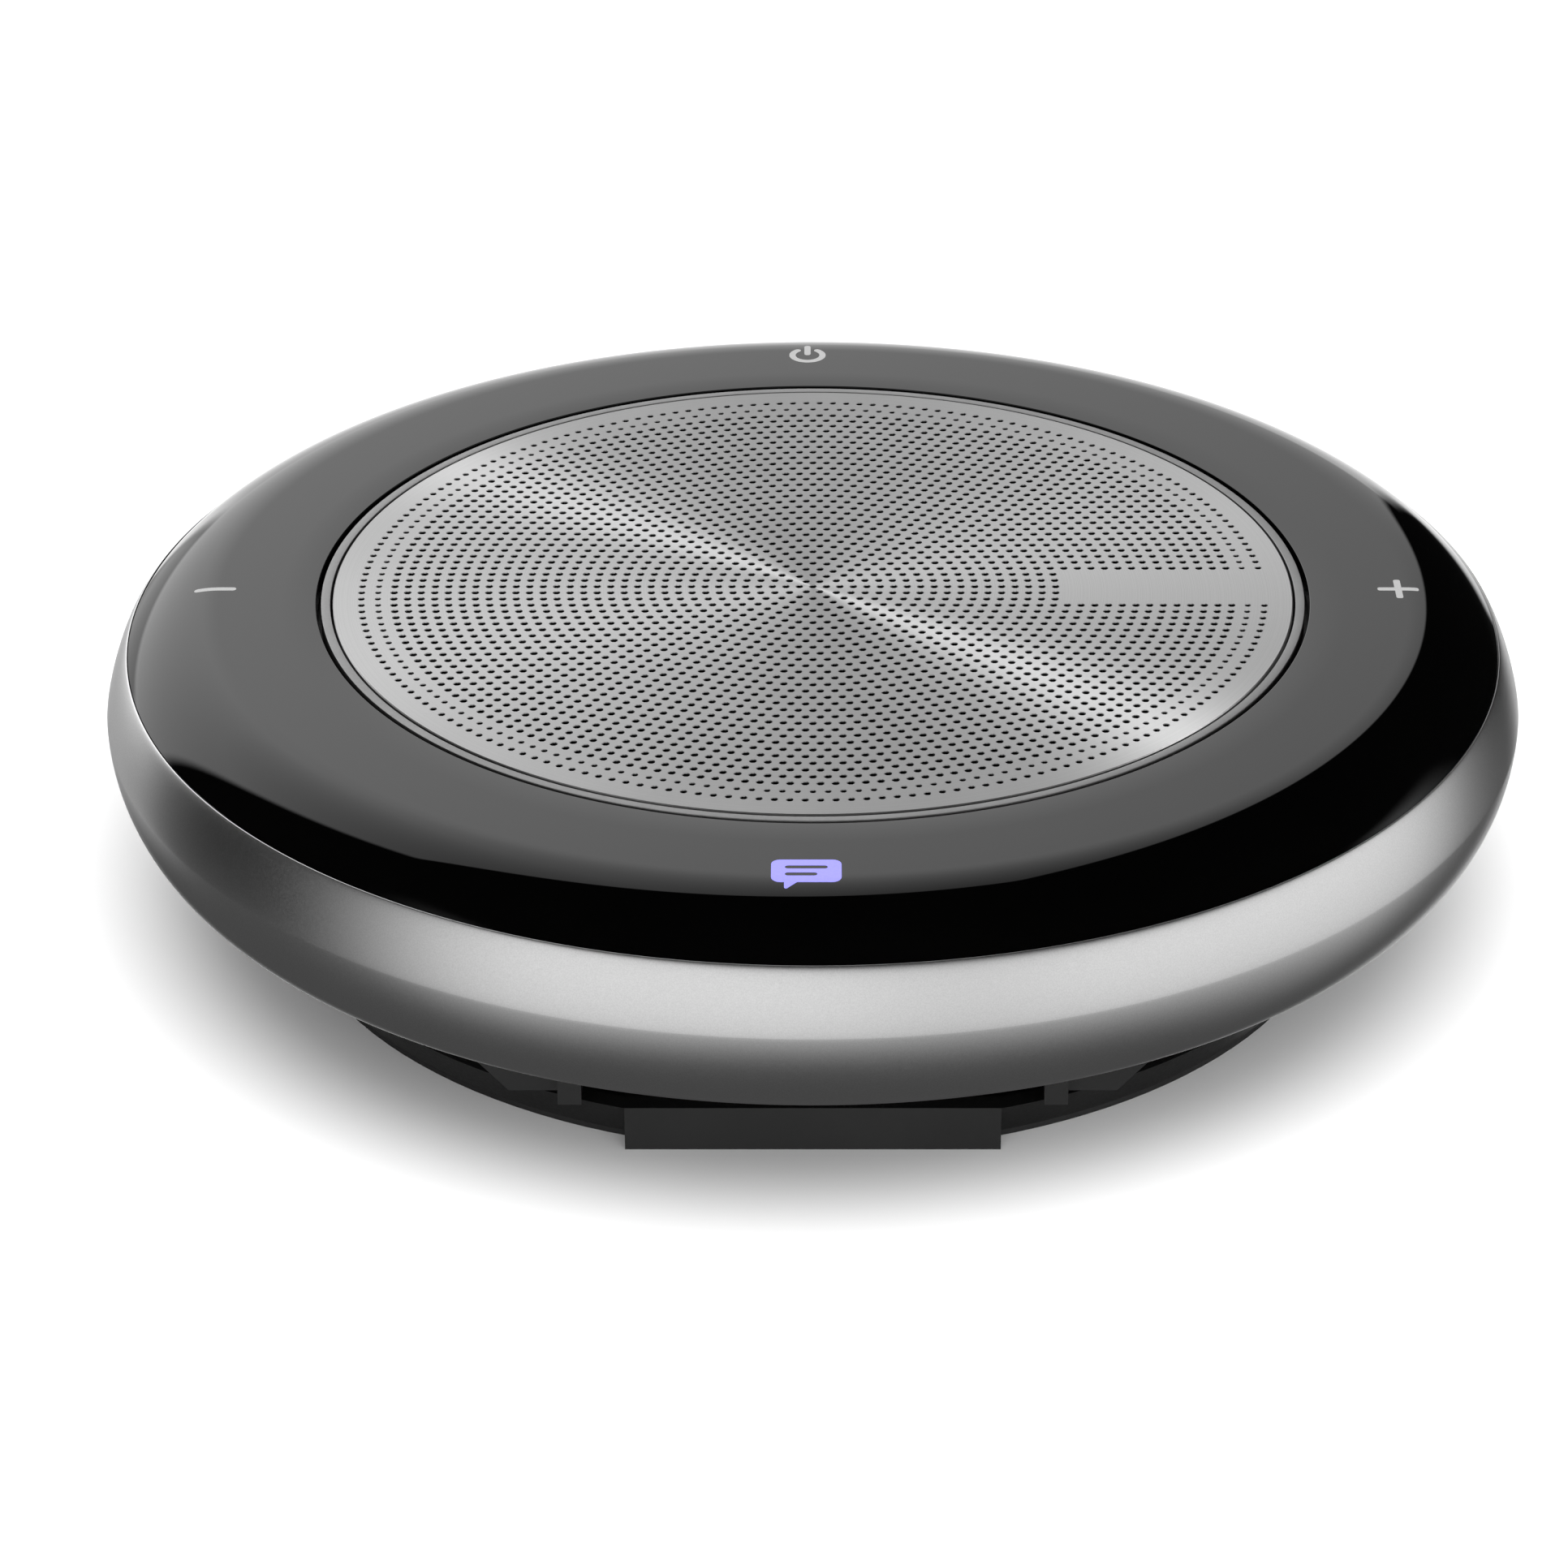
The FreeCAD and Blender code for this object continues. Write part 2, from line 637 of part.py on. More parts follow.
keep(tube("plate", "magnet_radius - 1.2", "plate_bore", "plate_thick", "plate_z"), "top_plate")
keep(tube("magnet_ring", "magnet_radius", "magnet_bore", "magnet_thick", "magnet_z"), "magnet")
keep(turned("yoke_turned", [
    ("0", "yoke_z"),
    ("magnet_radius - 1.2", "yoke_z"),
    ("magnet_radius - 1.2", "magnet_z"),
    ("pole_radius", "magnet_z"),
    ("pole_radius", "plate_top_z"),
    ("0", "plate_top_z"),
]), "yoke")
keep(tube("gasket", "basket_radius", "basket_radius - 2", "gasket_thick", "basket_top_z"),
     "speaker_gasket")
keep(block("terminal", "basket_wall + 0.2", "-3", "basket_rim_z - 1.9", "1.1", "6", "1.6"),
     "speaker_terminal")

# ---------------------------------------------------------------- loudspeaker, moving parts
former_top = "neck_z + 0.7"
keep(tube("former", "coil_radius", "coil_radius - former_wall", former_top + " - coil_z", "coil_z"),
     "coil_former")
keep(tube("winding", "coil_radius + coil_wire", "coil_radius", "coil_length", "coil_z"), "voice_coil")
keep(turned("cone_turned", [
    ("coil_radius", "neck_z"),
    ("coil_radius + cone_thick", "neck_z"),
    ("cone_edge_radius - 0.7", "cone_top_z - 0.4"),
    ("cone_edge_radius", "cone_top_z - 0.4"),
    ("cone_edge_radius", "cone_top_z"),
    ("cone_edge_radius - 0.9", "cone_top_z"),
    ("coil_radius", "neck_z + 0.7"),
]), "speaker_cone")


def make_dust_cap():
    """A domed cap over the cone's neck."""
    base_r, base_z = size("coil_radius + 1.5"), size("neck_z + 1.6")
    rise, thick = size("cap_rise"), size("cap_thick")
    sphere = (base_r ** 2 + rise ** 2) / (2 * rise)
    centre_z = base_z + rise - sphere
    spread = math.asin(base_r / sphere)

    def on_dome(radius, share):
        return (radius * math.sin(spread * share), centre_z + radius * math.cos(spread * share))

    edges = [arc(on_dome(sphere, 1), on_dome(sphere, 0.5), on_dome(sphere, 0))]
    edges += path([on_dome(sphere, 0), on_dome(sphere + thick, 0)])
    edges += [arc(on_dome(sphere + thick, 0), on_dome(sphere + thick, 0.5), on_dome(sphere + thick, 1))]
    edges += path([on_dome(sphere + thick, 1), on_dome(sphere, 1)])
    return keep(spun("dust_cap", edges), "dust_cap")


def make_surround():
    """A rubber half roll: the inner lip lies on the cone's edge, the outer lip on the basket's rim."""
    thick = size("surround_thick")
    inner_z, outer_z = size("cone_top_z") + 0.02, size("basket_top_z") + 0.02
    lip_in, lip_out = size("cone_edge_radius"), size("basket_bore + 0.1")
    crest_r, crest_z = (lip_in + lip_out) / 2, outer_z + 0.35
    inside, outside = size("cone_edge_radius - 0.9"), size("basket_radius - 2.1")
    edges = path([(lip_in, inner_z), (inside, inner_z), (inside, inner_z + thick),
                  (lip_in - 0.1, inner_z + thick)])
    edges += [arc((lip_in - 0.1, inner_z + thick), (crest_r - 0.1, crest_z + thick),
                  (lip_out, outer_z + thick))]
    edges += path([(lip_out, outer_z + thick), (outside, outer_z + thick), (outside, outer_z),
                   (lip_out + 0.1, outer_z)])
    edges += [arc((lip_out + 0.1, outer_z), (crest_r + 0.1, crest_z), (lip_in, inner_z))]
    return keep(spun("surround", edges), "surround")


def make_spider():
    """A corrugated cup that centres the coil: fixed on the basket's ledge, moving at the former."""
    ledge_z, thick = size("plate_top_z + 1.8") + 0.02, 0.25
    inner, outer = size("coil_radius") + 0.06, size("magnet_radius") - 0.2
    lip = 1.2
    waves, rise = 3, 1.2
    span = outer - lip - inner
    lower = [(outer, ledge_z), (outer - lip, ledge_z)]
    for i in range(1, 2 * waves):
        share = i / (2 * waves)
        ripple = 0.22 if i % 2 else -0.1
        lower.append((outer - lip - span * share, ledge_z + rise * share + ripple))
    lower.append((inner, ledge_z + rise))
    upper = [(r, z + thick) for r, z in lower]
    edges = path(lower + upper[::-1] + [lower[0]])
    return keep(spun("spider", edges), "spider")


make_dust_cap()
make_surround()
make_spider()

# ---------------------------------------------------------------- chamber behind the loudspeaker
chamber_cup = turned("chamber_cup", [
    ("0", "cup_floor_z - chamber_wall"),
    ("cup_radius", "cup_floor_z - chamber_wall"),
    ("cup_radius", "pan_top_z"),
    ("chamber_radius", "pan_top_z"),
    ("chamber_radius", "flange_z"),
    ("flange_radius", "flange_z"),
    ("flange_radius", "frame_under_z"),
    ("chamber_bore", "frame_under_z"),
    ("chamber_bore", "basket_rim_z"),
    ("chamber_bore - 1.4", "basket_rim_z"),
    ("chamber_bore - 1.4", "basket_rim_z - 1"),
    ("chamber_bore", "basket_rim_z - 1"),
    ("chamber_bore", "pan_top_z + chamber_wall"),
    ("cup_bore", "pan_top_z + chamber_wall"),
    ("cup_bore", "cup_floor_z"),
    ("0", "cup_floor_z"),
])
keep(cut("chamber_drilled", chamber_cup,
         holes("chamber_pilot", chamber_places, play_hole, "flange_z", "chamber_flange_thick")),
     "back_chamber")

# ---------------------------------------------------------------- touch board, flex, light guides
keep(tube("touch_board_ring", "frame_step_radius + touch_board_width", "frame_step_radius + 0.2",
          "touch_board_thick", "shelf_z"), "touch_board")
keep(tube("flex_ring", "frame_step_radius + 0.5 + flex_width", "frame_step_radius + 0.5",
          "flex_thick", "bezel_under_z - flex_thick"), "touch_flex")
light_circle = "(frame_step_radius + 0.8 + flex_width + guide_block_width / 2)"
for place_name, angle in (("right", 0), ("back", 90), ("left", 180), ("front", 270)):
    keep(polar_block("guide_block_" + place_name, angle, light_circle,
                     "bezel_under_z - guide_block_thick",
                     "guide_block_width", "guide_block_length", "guide_block_thick"),
         "light_guide_" + place_name)
    keep(polar_block("led_" + place_name, angle, light_circle, "touch_board_top_z",
                     "led_width", "led_length", "bezel_under_z - guide_block_thick - touch_board_top_z"),
         "icon_led_" + place_name)

# ---------------------------------------------------------------- main board and what it carries
board_ring = tube("board_ring", "board_outer_radius", "chamber_radius + board_inner_gap",
                  "board_thick", "board_z")
keep(cut("board_shaped", board_ring,
         [block("board_trim", "-board_outer_radius - 1", "-board_outer_radius - 1", "board_z - 1",
                "board_outer_radius + 1 - board_battery_edge", "2 * board_outer_radius + 2", "4")]
         + holes("board_boss_hole", frame_places, "boss_radius + 0.3", "board_z", "board_thick")
         + holes("board_screw_hole", board_places, play_hole, "board_z", "board_thick")), "main_board")

ON_BOARD = {
    # name: left x, near y, length, width, height above the board
    "shield_can": (34, -6, 14, 12, 2.6),
    "radio_module": (15.5, 31.5, 10, 8, 1.8),
    "audio_chip": (17, -39, 7, 7, 1.0),
    "power_chip": (5.5, -40.5, 5, 5, 1.0),
    "battery_connector": (-22.5, 34, 6, 4, 3.0),
    "speaker_connector": (-22.5, -38, 6, 4, 3.0),
    "cord_connector": (4, 36, 8, 4, 3.2),
}
for name, (x, y, long, wide, tall) in ON_BOARD.items():
    keep(block(name + "_body", str(x), str(y), "board_top_z", str(long), str(wide), str(tall)), name)

# ---------------------------------------------------------------- battery
keep(block("cell", "-battery_x - battery_width", "-battery_length / 2", "battery_z",
           "battery_width", "battery_length", "battery_thick"), "battery")
keep(block("tape", "-battery_x - battery_width + 5", "-battery_length / 2 + 3", "pan_top_z",
           "battery_width - 6", "battery_length - 6", "battery_tape"), "battery_tape")
keep(block("foam", "-frame_step_radius - 8", "-battery_length / 2 + 4", "battery_top_z",
           "6.5", "battery_length - 8", "shelf_under_z - battery_top_z"), "battery_foam")

# ---------------------------------------------------------------- microphones in rubber boots
mic_reach = "(trim_outer - 0.7)"
boot_z = "frame_under_z - mic_boot_roof - mic_thick"
for i, angle in enumerate(MIC_ANGLES):
    label = "%d" % (i + 1)
    boot = polar_block("boot_block_" + label, angle, mic_reach, boot_z,
                       "mic_width + 2 * mic_boot_wall", "mic_length + 2 * mic_boot_wall",
                       "mic_boot_roof + mic_thick")
    pocket = polar_block("boot_pocket_" + label, angle, mic_reach, boot_z,
                         "mic_width", "mic_length", "mic_thick")
    x, y = mic_places[i]
    port = cylinder("boot_port_" + label, "mic_port", "mic_boot_roof + mic_thick", boot_z, x, y)
    keep(cut("boot_" + label, boot, [pocket, port]), "mic_boot_" + label)
    keep(polar_block("mic_" + label, angle, mic_reach, boot_z,
                     "mic_width", "mic_length", "mic_thick"), "microphone_" + label)

# ---------------------------------------------------------------- screws
screws("frame_screws", frame_places, "shelf_z - screw_head_thick - 0.1", "screw_length")
screws("chamber_screws", chamber_places, "seat_z - screw_head_thick - 0.1", "short_screw_length")
screws("board_screws", board_places, "board_top_z", "short_screw_length + board_thick - 0.3")
screws("base_screws", base_places, "foot_thick + screw_head_thick + 0.1", "short_screw_length", True)

# ---------------------------------------------------------------- check and write
doc.recompute()
os.makedirs("parts", exist_ok=True)
for thing in doc.Objects:
    if "Invalid" in thing.State or "Error" in thing.State:
        raise RuntimeError("%s did not build: %s" % (thing.Name, thing.State))
for piece in nodes:
    if piece.Shape.isNull() or not piece.Shape.isValid() or not piece.Shape.Solids:
        raise RuntimeError("%s has no valid solid" % piece.Label)
for piece in nodes:
    piece.Shape.exportStep(os.path.join("parts", piece.Label + ".step"))
    box = piece.Shape.BoundBox
    print("%-20s %d solid(s) volume %10.2f  z %6.2f to %6.2f" % (
        piece.Label, len(piece.Shape.Solids), piece.Shape.Volume, box.ZMin, box.ZMax))
print(len(nodes), "pieces written")
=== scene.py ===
import math

import bmesh
import bpy
from mathutils import Matrix, Vector
from mathutils.geometry import delaunay_2d_cdt


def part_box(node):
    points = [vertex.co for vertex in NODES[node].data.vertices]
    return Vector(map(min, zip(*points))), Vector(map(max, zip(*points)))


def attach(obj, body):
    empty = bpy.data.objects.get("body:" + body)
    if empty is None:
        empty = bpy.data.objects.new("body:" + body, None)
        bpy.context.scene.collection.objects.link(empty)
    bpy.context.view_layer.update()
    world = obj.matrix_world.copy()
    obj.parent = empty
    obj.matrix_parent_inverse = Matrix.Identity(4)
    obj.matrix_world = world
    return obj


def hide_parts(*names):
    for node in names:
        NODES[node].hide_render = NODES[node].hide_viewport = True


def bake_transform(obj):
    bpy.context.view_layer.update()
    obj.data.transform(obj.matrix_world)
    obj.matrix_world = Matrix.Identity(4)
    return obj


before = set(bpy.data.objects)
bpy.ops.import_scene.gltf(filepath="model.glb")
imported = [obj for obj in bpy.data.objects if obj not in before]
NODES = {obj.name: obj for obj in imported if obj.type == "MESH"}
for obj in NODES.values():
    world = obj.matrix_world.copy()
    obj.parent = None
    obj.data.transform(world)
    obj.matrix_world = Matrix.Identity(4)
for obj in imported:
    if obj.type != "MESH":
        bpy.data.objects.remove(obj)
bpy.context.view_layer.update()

MM = 0.001
SCENE = bpy.context.scene


def top(node):
    """Highest level of a CAD node, in millimetres."""
    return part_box(node)[1].z / MM


def foot(node):
    """Lowest level of a CAD node, in millimetres."""
    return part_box(node)[0].z / MM


def reach(node):
    """Outer radius of a round CAD node, in millimetres."""
    low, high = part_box(node)
    return max(high.x, high.y, -low.x, -low.y) / MM


# ---------------------------------------------------------------- sizes, in millimetres

HEIGHT = top("speaker_grille")
GRILLE_RADIUS = reach("speaker_grille")
GRILLE_THICK = HEIGHT - foot("speaker_grille")
TRIM_RADIUS = reach("trim_ring")
TRIM_TOP = top("trim_ring")
TRIM_FOOT = foot("trim_ring")
TRIM_GAP = 0.2
TRIM_TOP_ROUND = 0.06
TRIM_FOOT_ROUND = 0.05
BEZEL_GAP = 0.4
BEZEL_WALL = 1.5
BEZEL_SKIRT = 1.1
BEZEL_BORE_ROUND = 0.08
BEZEL_RADIUS = reach("touch_bezel")
BEZEL_SEAM = foot("touch_bezel")
BEZEL_ROLL = 10.3
BEZEL_ROLL_WIDTH = 7.75
ROLL_START = BEZEL_RADIUS - BEZEL_ROLL_WIDTH
RING_RADIUS = reach("housing_ring")
RING_TOP = top("housing_ring")
RING_BOTTOM = foot("housing_ring")
RING_LIP = 0.14
RING_WALL = 1.6
RING_EQUATOR = HEIGHT - 8.86
RING_UNDERCUT = 5.87
RING_UPPER_POWER = 1.277
RING_LOWER_POWER = 1.887
TOUCH_CIRCLE = 48.5
ROUND_STEPS = 320
SHARP_ANGLE = 40


# ---------------------------------------------------------------- mesh helpers

def add_object(name, mesh, material, nodes=()):
    """A piece of the housing, with its material, slot and the CAD nodes it stands for."""
    obj = bpy.data.objects.new(name, mesh)
    SCENE.collection.objects.link(obj)
    mesh.materials.append(material)
    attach(obj, "housing")
    if nodes:
        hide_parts(*nodes)
    return obj


def rounded(points, radii, steps):
    """A closed outline with arcs of the given radii at its corners."""
    out = []
    count = len(points)
    for i, radius in enumerate(radii):
        here = Vector(points[i])
        if radius <= 0:
            out.append(tuple(here))
            continue
        before = (Vector(points[i - 1]) - here).normalized()
        after = (Vector(points[(i + 1) % count]) - here).normalized()
        half = before.angle(after) / 2
        reach_back = radius / math.tan(half)
        centre = here + (before + after).normalized() * (radius / math.sin(half))
        start = here + before * reach_back - centre
        end = here + after * reach_back - centre
        sweep = start.angle_signed(end)
        for k in range(steps + 1):
            turn = Matrix.Rotation(-sweep * k / steps, 2)
            out.append(tuple(centre + turn @ start))
    return out


def face_outward(mesh):
    """Drops points that no face uses and turns every face outward."""
    bm = bmesh.new()
    bm.from_mesh(mesh)
    bmesh.ops.delete(bm, geom=[v for v in bm.verts if not v.link_faces], context="VERTS")
    bmesh.ops.recalc_face_normals(bm, faces=bm.faces)
    bm.to_mesh(mesh)
    bm.free()


def revolve(name, outline, slot, node):
    """Turns a closed (radius, height) outline round the Z axis."""
    mesh = bpy.data.meshes.new(name)
    count = len(outline)
    verts = []
    for s in range(ROUND_STEPS):
        a = 2 * math.pi * s / ROUND_STEPS
        c, d = math.cos(a) * MM, math.sin(a) * MM
        verts += [(r * c, r * d, z * MM) for r, z in outline]
    faces = []
    for s in range(ROUND_STEPS):
        t = (s + 1) % ROUND_STEPS
        for i in range(count):
            j = (i + 1) % count
            faces.append((s * count + i, t * count + i, t * count + j, s * count + j))
    mesh.from_pydata(verts, [], faces)
    mesh.polygons.foreach_set("use_smooth", [True] * len(mesh.polygons))
    face_outward(mesh)
    mesh.set_sharp_from_angle(angle=math.radians(SHARP_ANGLE))
    return add_object(name, mesh, LOOKS[slot], [node])


# ---------------------------------------------------------------- node helpers

class Shader:
    """A short way to write a procedural material."""

    def __init__(self, name, **values):
        self.material = bpy.data.materials.new(name)
        self.material.use_nodes = True
        self.tree = self.material.node_tree
        self.main = self.tree.nodes["Principled BSDF"]
        for key, value in values.items():
            self.main.inputs[key.replace("_", " ")].default_value = value
        self.place = self.node("ShaderNodeTexCoord").outputs["Object"]

    def node(self, kind, **settings):
        made = self.tree.nodes.new(kind)
        for key, value in settings.items():
            setattr(made, key, value)
        return made

    def link(self, source, target):
        self.tree.links.new(source, target)

    def turned(self, angle):
        """The place on the object, turned about Z."""
        mapping = self.node("ShaderNodeMapping")
        mapping.inputs["Rotation"].default_value = (0, 0, angle)
        self.link(self.place, mapping.inputs["Vector"])
        return mapping.outputs[0]

    def noise(self, scale, detail, rough):
        made = self.node("ShaderNodeTexNoise")
        made.inputs["Scale"].default_value = scale
        made.inputs["Detail"].default_value = detail
        made.inputs["Roughness"].default_value = rough
        self.link(self.place, made.inputs["Vector"])
        return made.outputs["Fac"]

    def math(self, operation, a, b=0.0, c=0.0):
        made = self.node("ShaderNodeMath", operation=operation)
        for socket, value in zip(made.inputs, (a, b, c)):
            if isinstance(value, (int, float)):
                socket.default_value = value
            else:
                self.link(value, socket)
        return made.outputs[0]

    def ramp(self, factor, low, high, start=0.3, end=0.7):
        made = self.node("ShaderNodeMapRange")
        made.inputs["From Min"].default_value = start
        made.inputs["From Max"].default_value = end
        made.inputs["To Min"].default_value = low
        made.inputs["To Max"].default_value = high
        self.link(factor, made.inputs["Value"])
        return made.outputs[0]

    def blend(self, factor, low, high):
        made = self.node("ShaderNodeMix", data_type="RGBA")
        ins = [s for s in made.inputs if s.type == "RGBA"]
        ins[0].default_value = (*low, 1)
        ins[1].default_value = (*high, 1)
        self.link(factor, made.inputs[0])
        return [s for s in made.outputs if s.type == "RGBA"][0]

    def colour(self, source):
        self.link(source, self.main.inputs["Base Color"])

    def roughness(self, source):
        self.link(source, self.main.inputs["Roughness"])

    def bump(self, height, strength, distance):
        made = self.node("ShaderNodeBump")
        made.inputs["Strength"].default_value = strength
        made.inputs["Distance"].default_value = distance
        self.link(height, made.inputs["Height"])
        self.link(made.outputs[0], self.main.inputs["Normal"])


def grained(name, low, high, rough, grain, depth, metallic=0.0, **values):
    """A moulded, painted or cast surface: a fine grain, uneven colour and uneven gloss."""
    s = Shader(name, Metallic=metallic, **values)
    fine = s.noise(grain, 4.0, 0.6)
    broad = s.noise(grain / 40, 3.0, 0.5)
    s.colour(s.blend(s.ramp(broad, 0.0, 1.0), low, high))
    s.roughness(s.ramp(fine, rough - 0.05, rough + 0.05))
    s.bump(fine, 0.35, depth)
    return s.material


# ---------------------------------------------------------------- materials

def grey(value):
    return (value, value, value)


def make_bezel_gloss():
    s = Shader("bezel_gloss_look", IOR=1.5, Coat_Weight=0.0)
    swirl = s.noise(60.0, 2.0, 0.5)
    dust = s.noise(2600.0, 3.0, 0.7)
    s.colour(s.blend(swirl, grey(0.0012), grey(0.0024)))
    s.roughness(s.ramp(swirl, 0.012, 0.03))
    s.bump(dust, 0.02, 0.00001)
    return s.material


def make_silver():
    s = Shader("housing_silver_look", Metallic=1.0, IOR=1.5)
    sparkle = s.noise(9000.0, 2.0, 0.6)
    fine = s.noise(4200.0, 4.0, 0.65)
    broad = s.noise(45.0, 2.0, 0.5)
    s.colour(s.blend(s.ramp(sparkle, 0.0, 1.0, 0.35, 0.65), grey(0.78), grey(0.86)))
    s.roughness(s.math("ADD", s.ramp(fine, 0.30, 0.36), s.ramp(broad, -0.012, 0.012)))
    s.bump(fine, 0.10, 0.00001)
    return s.material


def make_spun():
    s = Shader("spun_aluminium_look", Metallic=1.0, Anisotropic=0.86, Anisotropic_Rotation=0.25)
    xyz = s.node("ShaderNodeSeparateXYZ")
    s.link(s.place, xyz.inputs[0])
    plane = s.node("ShaderNodeCombineXYZ")
    s.link(xyz.outputs[0], plane.inputs[0])
    s.link(xyz.outputs[1], plane.inputs[1])
    radius = s.node("ShaderNodeVectorMath", operation="LENGTH")
    s.link(plane.outputs[0], radius.inputs[0])
    rings = s.node("ShaderNodeTexNoise", noise_dimensions="1D")
    rings.inputs["Scale"].default_value = 16000.0
    rings.inputs["Detail"].default_value = 5.0
    rings.inputs["Roughness"].default_value = 0.7
    s.link(radius.outputs["Value"], rings.inputs["W"])
    patch = s.noise(120.0, 2.0, 0.5)
    lines = rings.outputs["Fac"]
    s.colour(s.blend(s.ramp(lines, 0.0, 1.0), grey(0.38), grey(0.52)))
    s.roughness(s.math("ADD", s.ramp(lines, 0.30, 0.38), s.ramp(patch, -0.01, 0.01)))
    s.bump(lines, 0.12, 0.00001)
    tangent = s.node("ShaderNodeTangent", direction_type="RADIAL", axis="Z")
    s.link(tangent.outputs[0], s.main.inputs["Tangent"])
    return s.material


def make_mesh_fabric():
    s = Shader("mesh_fabric_look", Roughness=0.9, Specular_IOR_Level=0.15)
    waves = []
    for turn in (0.0, math.pi / 2):
        wave = s.node("ShaderNodeTexWave", wave_type="BANDS", bands_direction="X")
        wave.inputs["Scale"].default_value = 900.0
        s.link(s.turned(turn), wave.inputs["Vector"])
        waves.append(wave.outputs["Fac"])
    weave = s.math("MULTIPLY", *waves)
    s.colour(s.blend(weave, grey(0.001), grey(0.004)))
    s.roughness(s.ramp(weave, 0.8, 0.95, 0.0, 1.0))
    s.bump(weave, 0.5, 0.00005)
    return s.material


# Wave bands repeat every 0.314 / Scale of a unit.
WAVE_TURNS = 0.314


def make_wound(name, low, high, pitch, metallic, rough):
    """Fine turns of wire stacked along Z."""
    s = Shader(name, Metallic=metallic)
    wave = s.node("ShaderNodeTexWave", wave_type="BANDS", bands_direction="Z")
    wave.inputs["Scale"].default_value = WAVE_TURNS / (pitch * MM)
    wave.inputs["Distortion"].default_value = 0.3
    s.link(s.place, wave.inputs["Vector"])
    s.colour(s.blend(wave.outputs["Fac"], low, high))
    s.roughness(s.ramp(wave.outputs["Fac"], rough + 0.1, rough - 0.05, 0.0, 1.0))
    s.bump(wave.outputs["Fac"], 0.6, 0.0001)
    return s.material


def make_circuit():
    s = Shader("circuit_board_look", IOR=1.5)
    cells = s.node("ShaderNodeTexVoronoi", feature="F1", distance="CHEBYCHEV")
    cells.inputs["Scale"].default_value = 450.0
    s.link(s.place, cells.inputs["Vector"])
    tracks = s.ramp(cells.outputs["Distance"], 0.0, 1.0, 0.45, 0.5)
    s.colour(s.blend(tracks, (0.005, 0.045, 0.02), (0.012, 0.10, 0.045)))
    s.roughness(s.ramp(tracks, 0.35, 0.5, 0.0, 1.0))
    s.bump(tracks, 0.3, 0.00003)
    return s.material


def make_icon(name, low, high, glow):
    s = Shader(name, Roughness=0.5, Emission_Strength=glow)
    speck = s.noise(3000.0, 2.0, 0.5)
    s.colour(s.blend(speck, low, high))
    s.main.inputs["Emission Color"].default_value = (*high, 1)
    s.roughness(s.ramp(speck, 0.4, 0.55))
    s.bump(speck, 0.1, 0.00001)
    return s.material


LOOKS = {
    "spun_aluminium": make_spun(),
    # Near-black painted shade for the grille's hole walls, which are really aluminium: the dark
    # stands in for the shade inside the holes.
    "hole_black": grained("hole_black_look", grey(0.001), grey(0.003), 0.7, 6000, 0.00001,
                          Specular_IOR_Level=0.1),
    "trim_grey": grained("trim_grey_look", grey(0.30), grey(0.35), 0.38, 5000, 0.00001, 0.8),
    "bezel_gloss": make_bezel_gloss(),
    "housing_silver": make_silver(),
    "base_black": grained("base_black_look", grey(0.013), grey(0.018), 0.38, 3500, 0.00002),
    "foot_rubber": grained("foot_rubber_look", grey(0.012), grey(0.020), 0.72, 2500, 0.00004),
    "mesh_fabric": make_mesh_fabric(),
    "frame_plastic": grained("frame_plastic_look", grey(0.022), grey(0.032), 0.5, 3000, 0.00003),
    "icon_diffuser": make_icon("icon_diffuser_look", grey(0.40), grey(0.46), 0.85),
    "icon_lit": make_icon("icon_lit_look", (0.10, 0.10, 0.30), (0.36, 0.34, 1.0), 0.95),
    "circuit_board": make_circuit(),
    "chip_black": grained("chip_black_look", grey(0.015), grey(0.022), 0.38, 6000, 0.00001),
    "connector_white": grained("connector_white_look", grey(0.62), grey(0.7), 0.4, 3000, 0.00001),
    "steel": grained("steel_look", grey(0.42), grey(0.5), 0.28, 4000, 0.00001, 1.0),
    "ferrite": grained("ferrite_look", grey(0.035), grey(0.06), 0.55, 5000, 0.00004, 0.3),
    "copper_wire": make_wound("copper_wire_look", (0.42, 0.13, 0.04), (0.78, 0.33, 0.14),
                              0.22, 1.0, 0.25),
    "cone_paper": grained("cone_paper_look", grey(0.018), grey(0.03), 0.85, 1800, 0.00008),
    "surround_rubber": grained("surround_rubber_look", grey(0.012), grey(0.018), 0.5, 4000,
                               0.00001),
    "spider_cloth": grained("spider_cloth_look", (0.32, 0.16, 0.05), (0.42, 0.22, 0.08), 0.85,
                            2500, 0.00008),
    "foam": grained("foam_look", grey(0.03), grey(0.05), 0.95, 1500, 0.00015),
    "battery_wrap": grained("battery_wrap_look", (0.02, 0.06, 0.16), (0.03, 0.08, 0.2), 0.3,
                            900, 0.00003),
}

for obj in NODES.values():
    name = obj.data.materials[0].name.split(".")[0]
    obj.data.materials.clear()
    obj.data.materials.append(LOOKS[name])


# ---------------------------------------------------------------- housing ring

def superellipse(inset, power, end_z, steps):
    """A quarter of the ring's side: radius and level from the widest line to the lip or foot."""
    out = []
    for k in range(steps + 1):
        a = math.pi / 2 * k / steps
        c, d = math.cos(a) ** (2 / power), math.sin(a) ** (2 / power)
        out.append((inset + (RING_RADIUS - inset) * c, RING_EQUATOR + (end_z - RING_EQUATOR) * d))
    return out


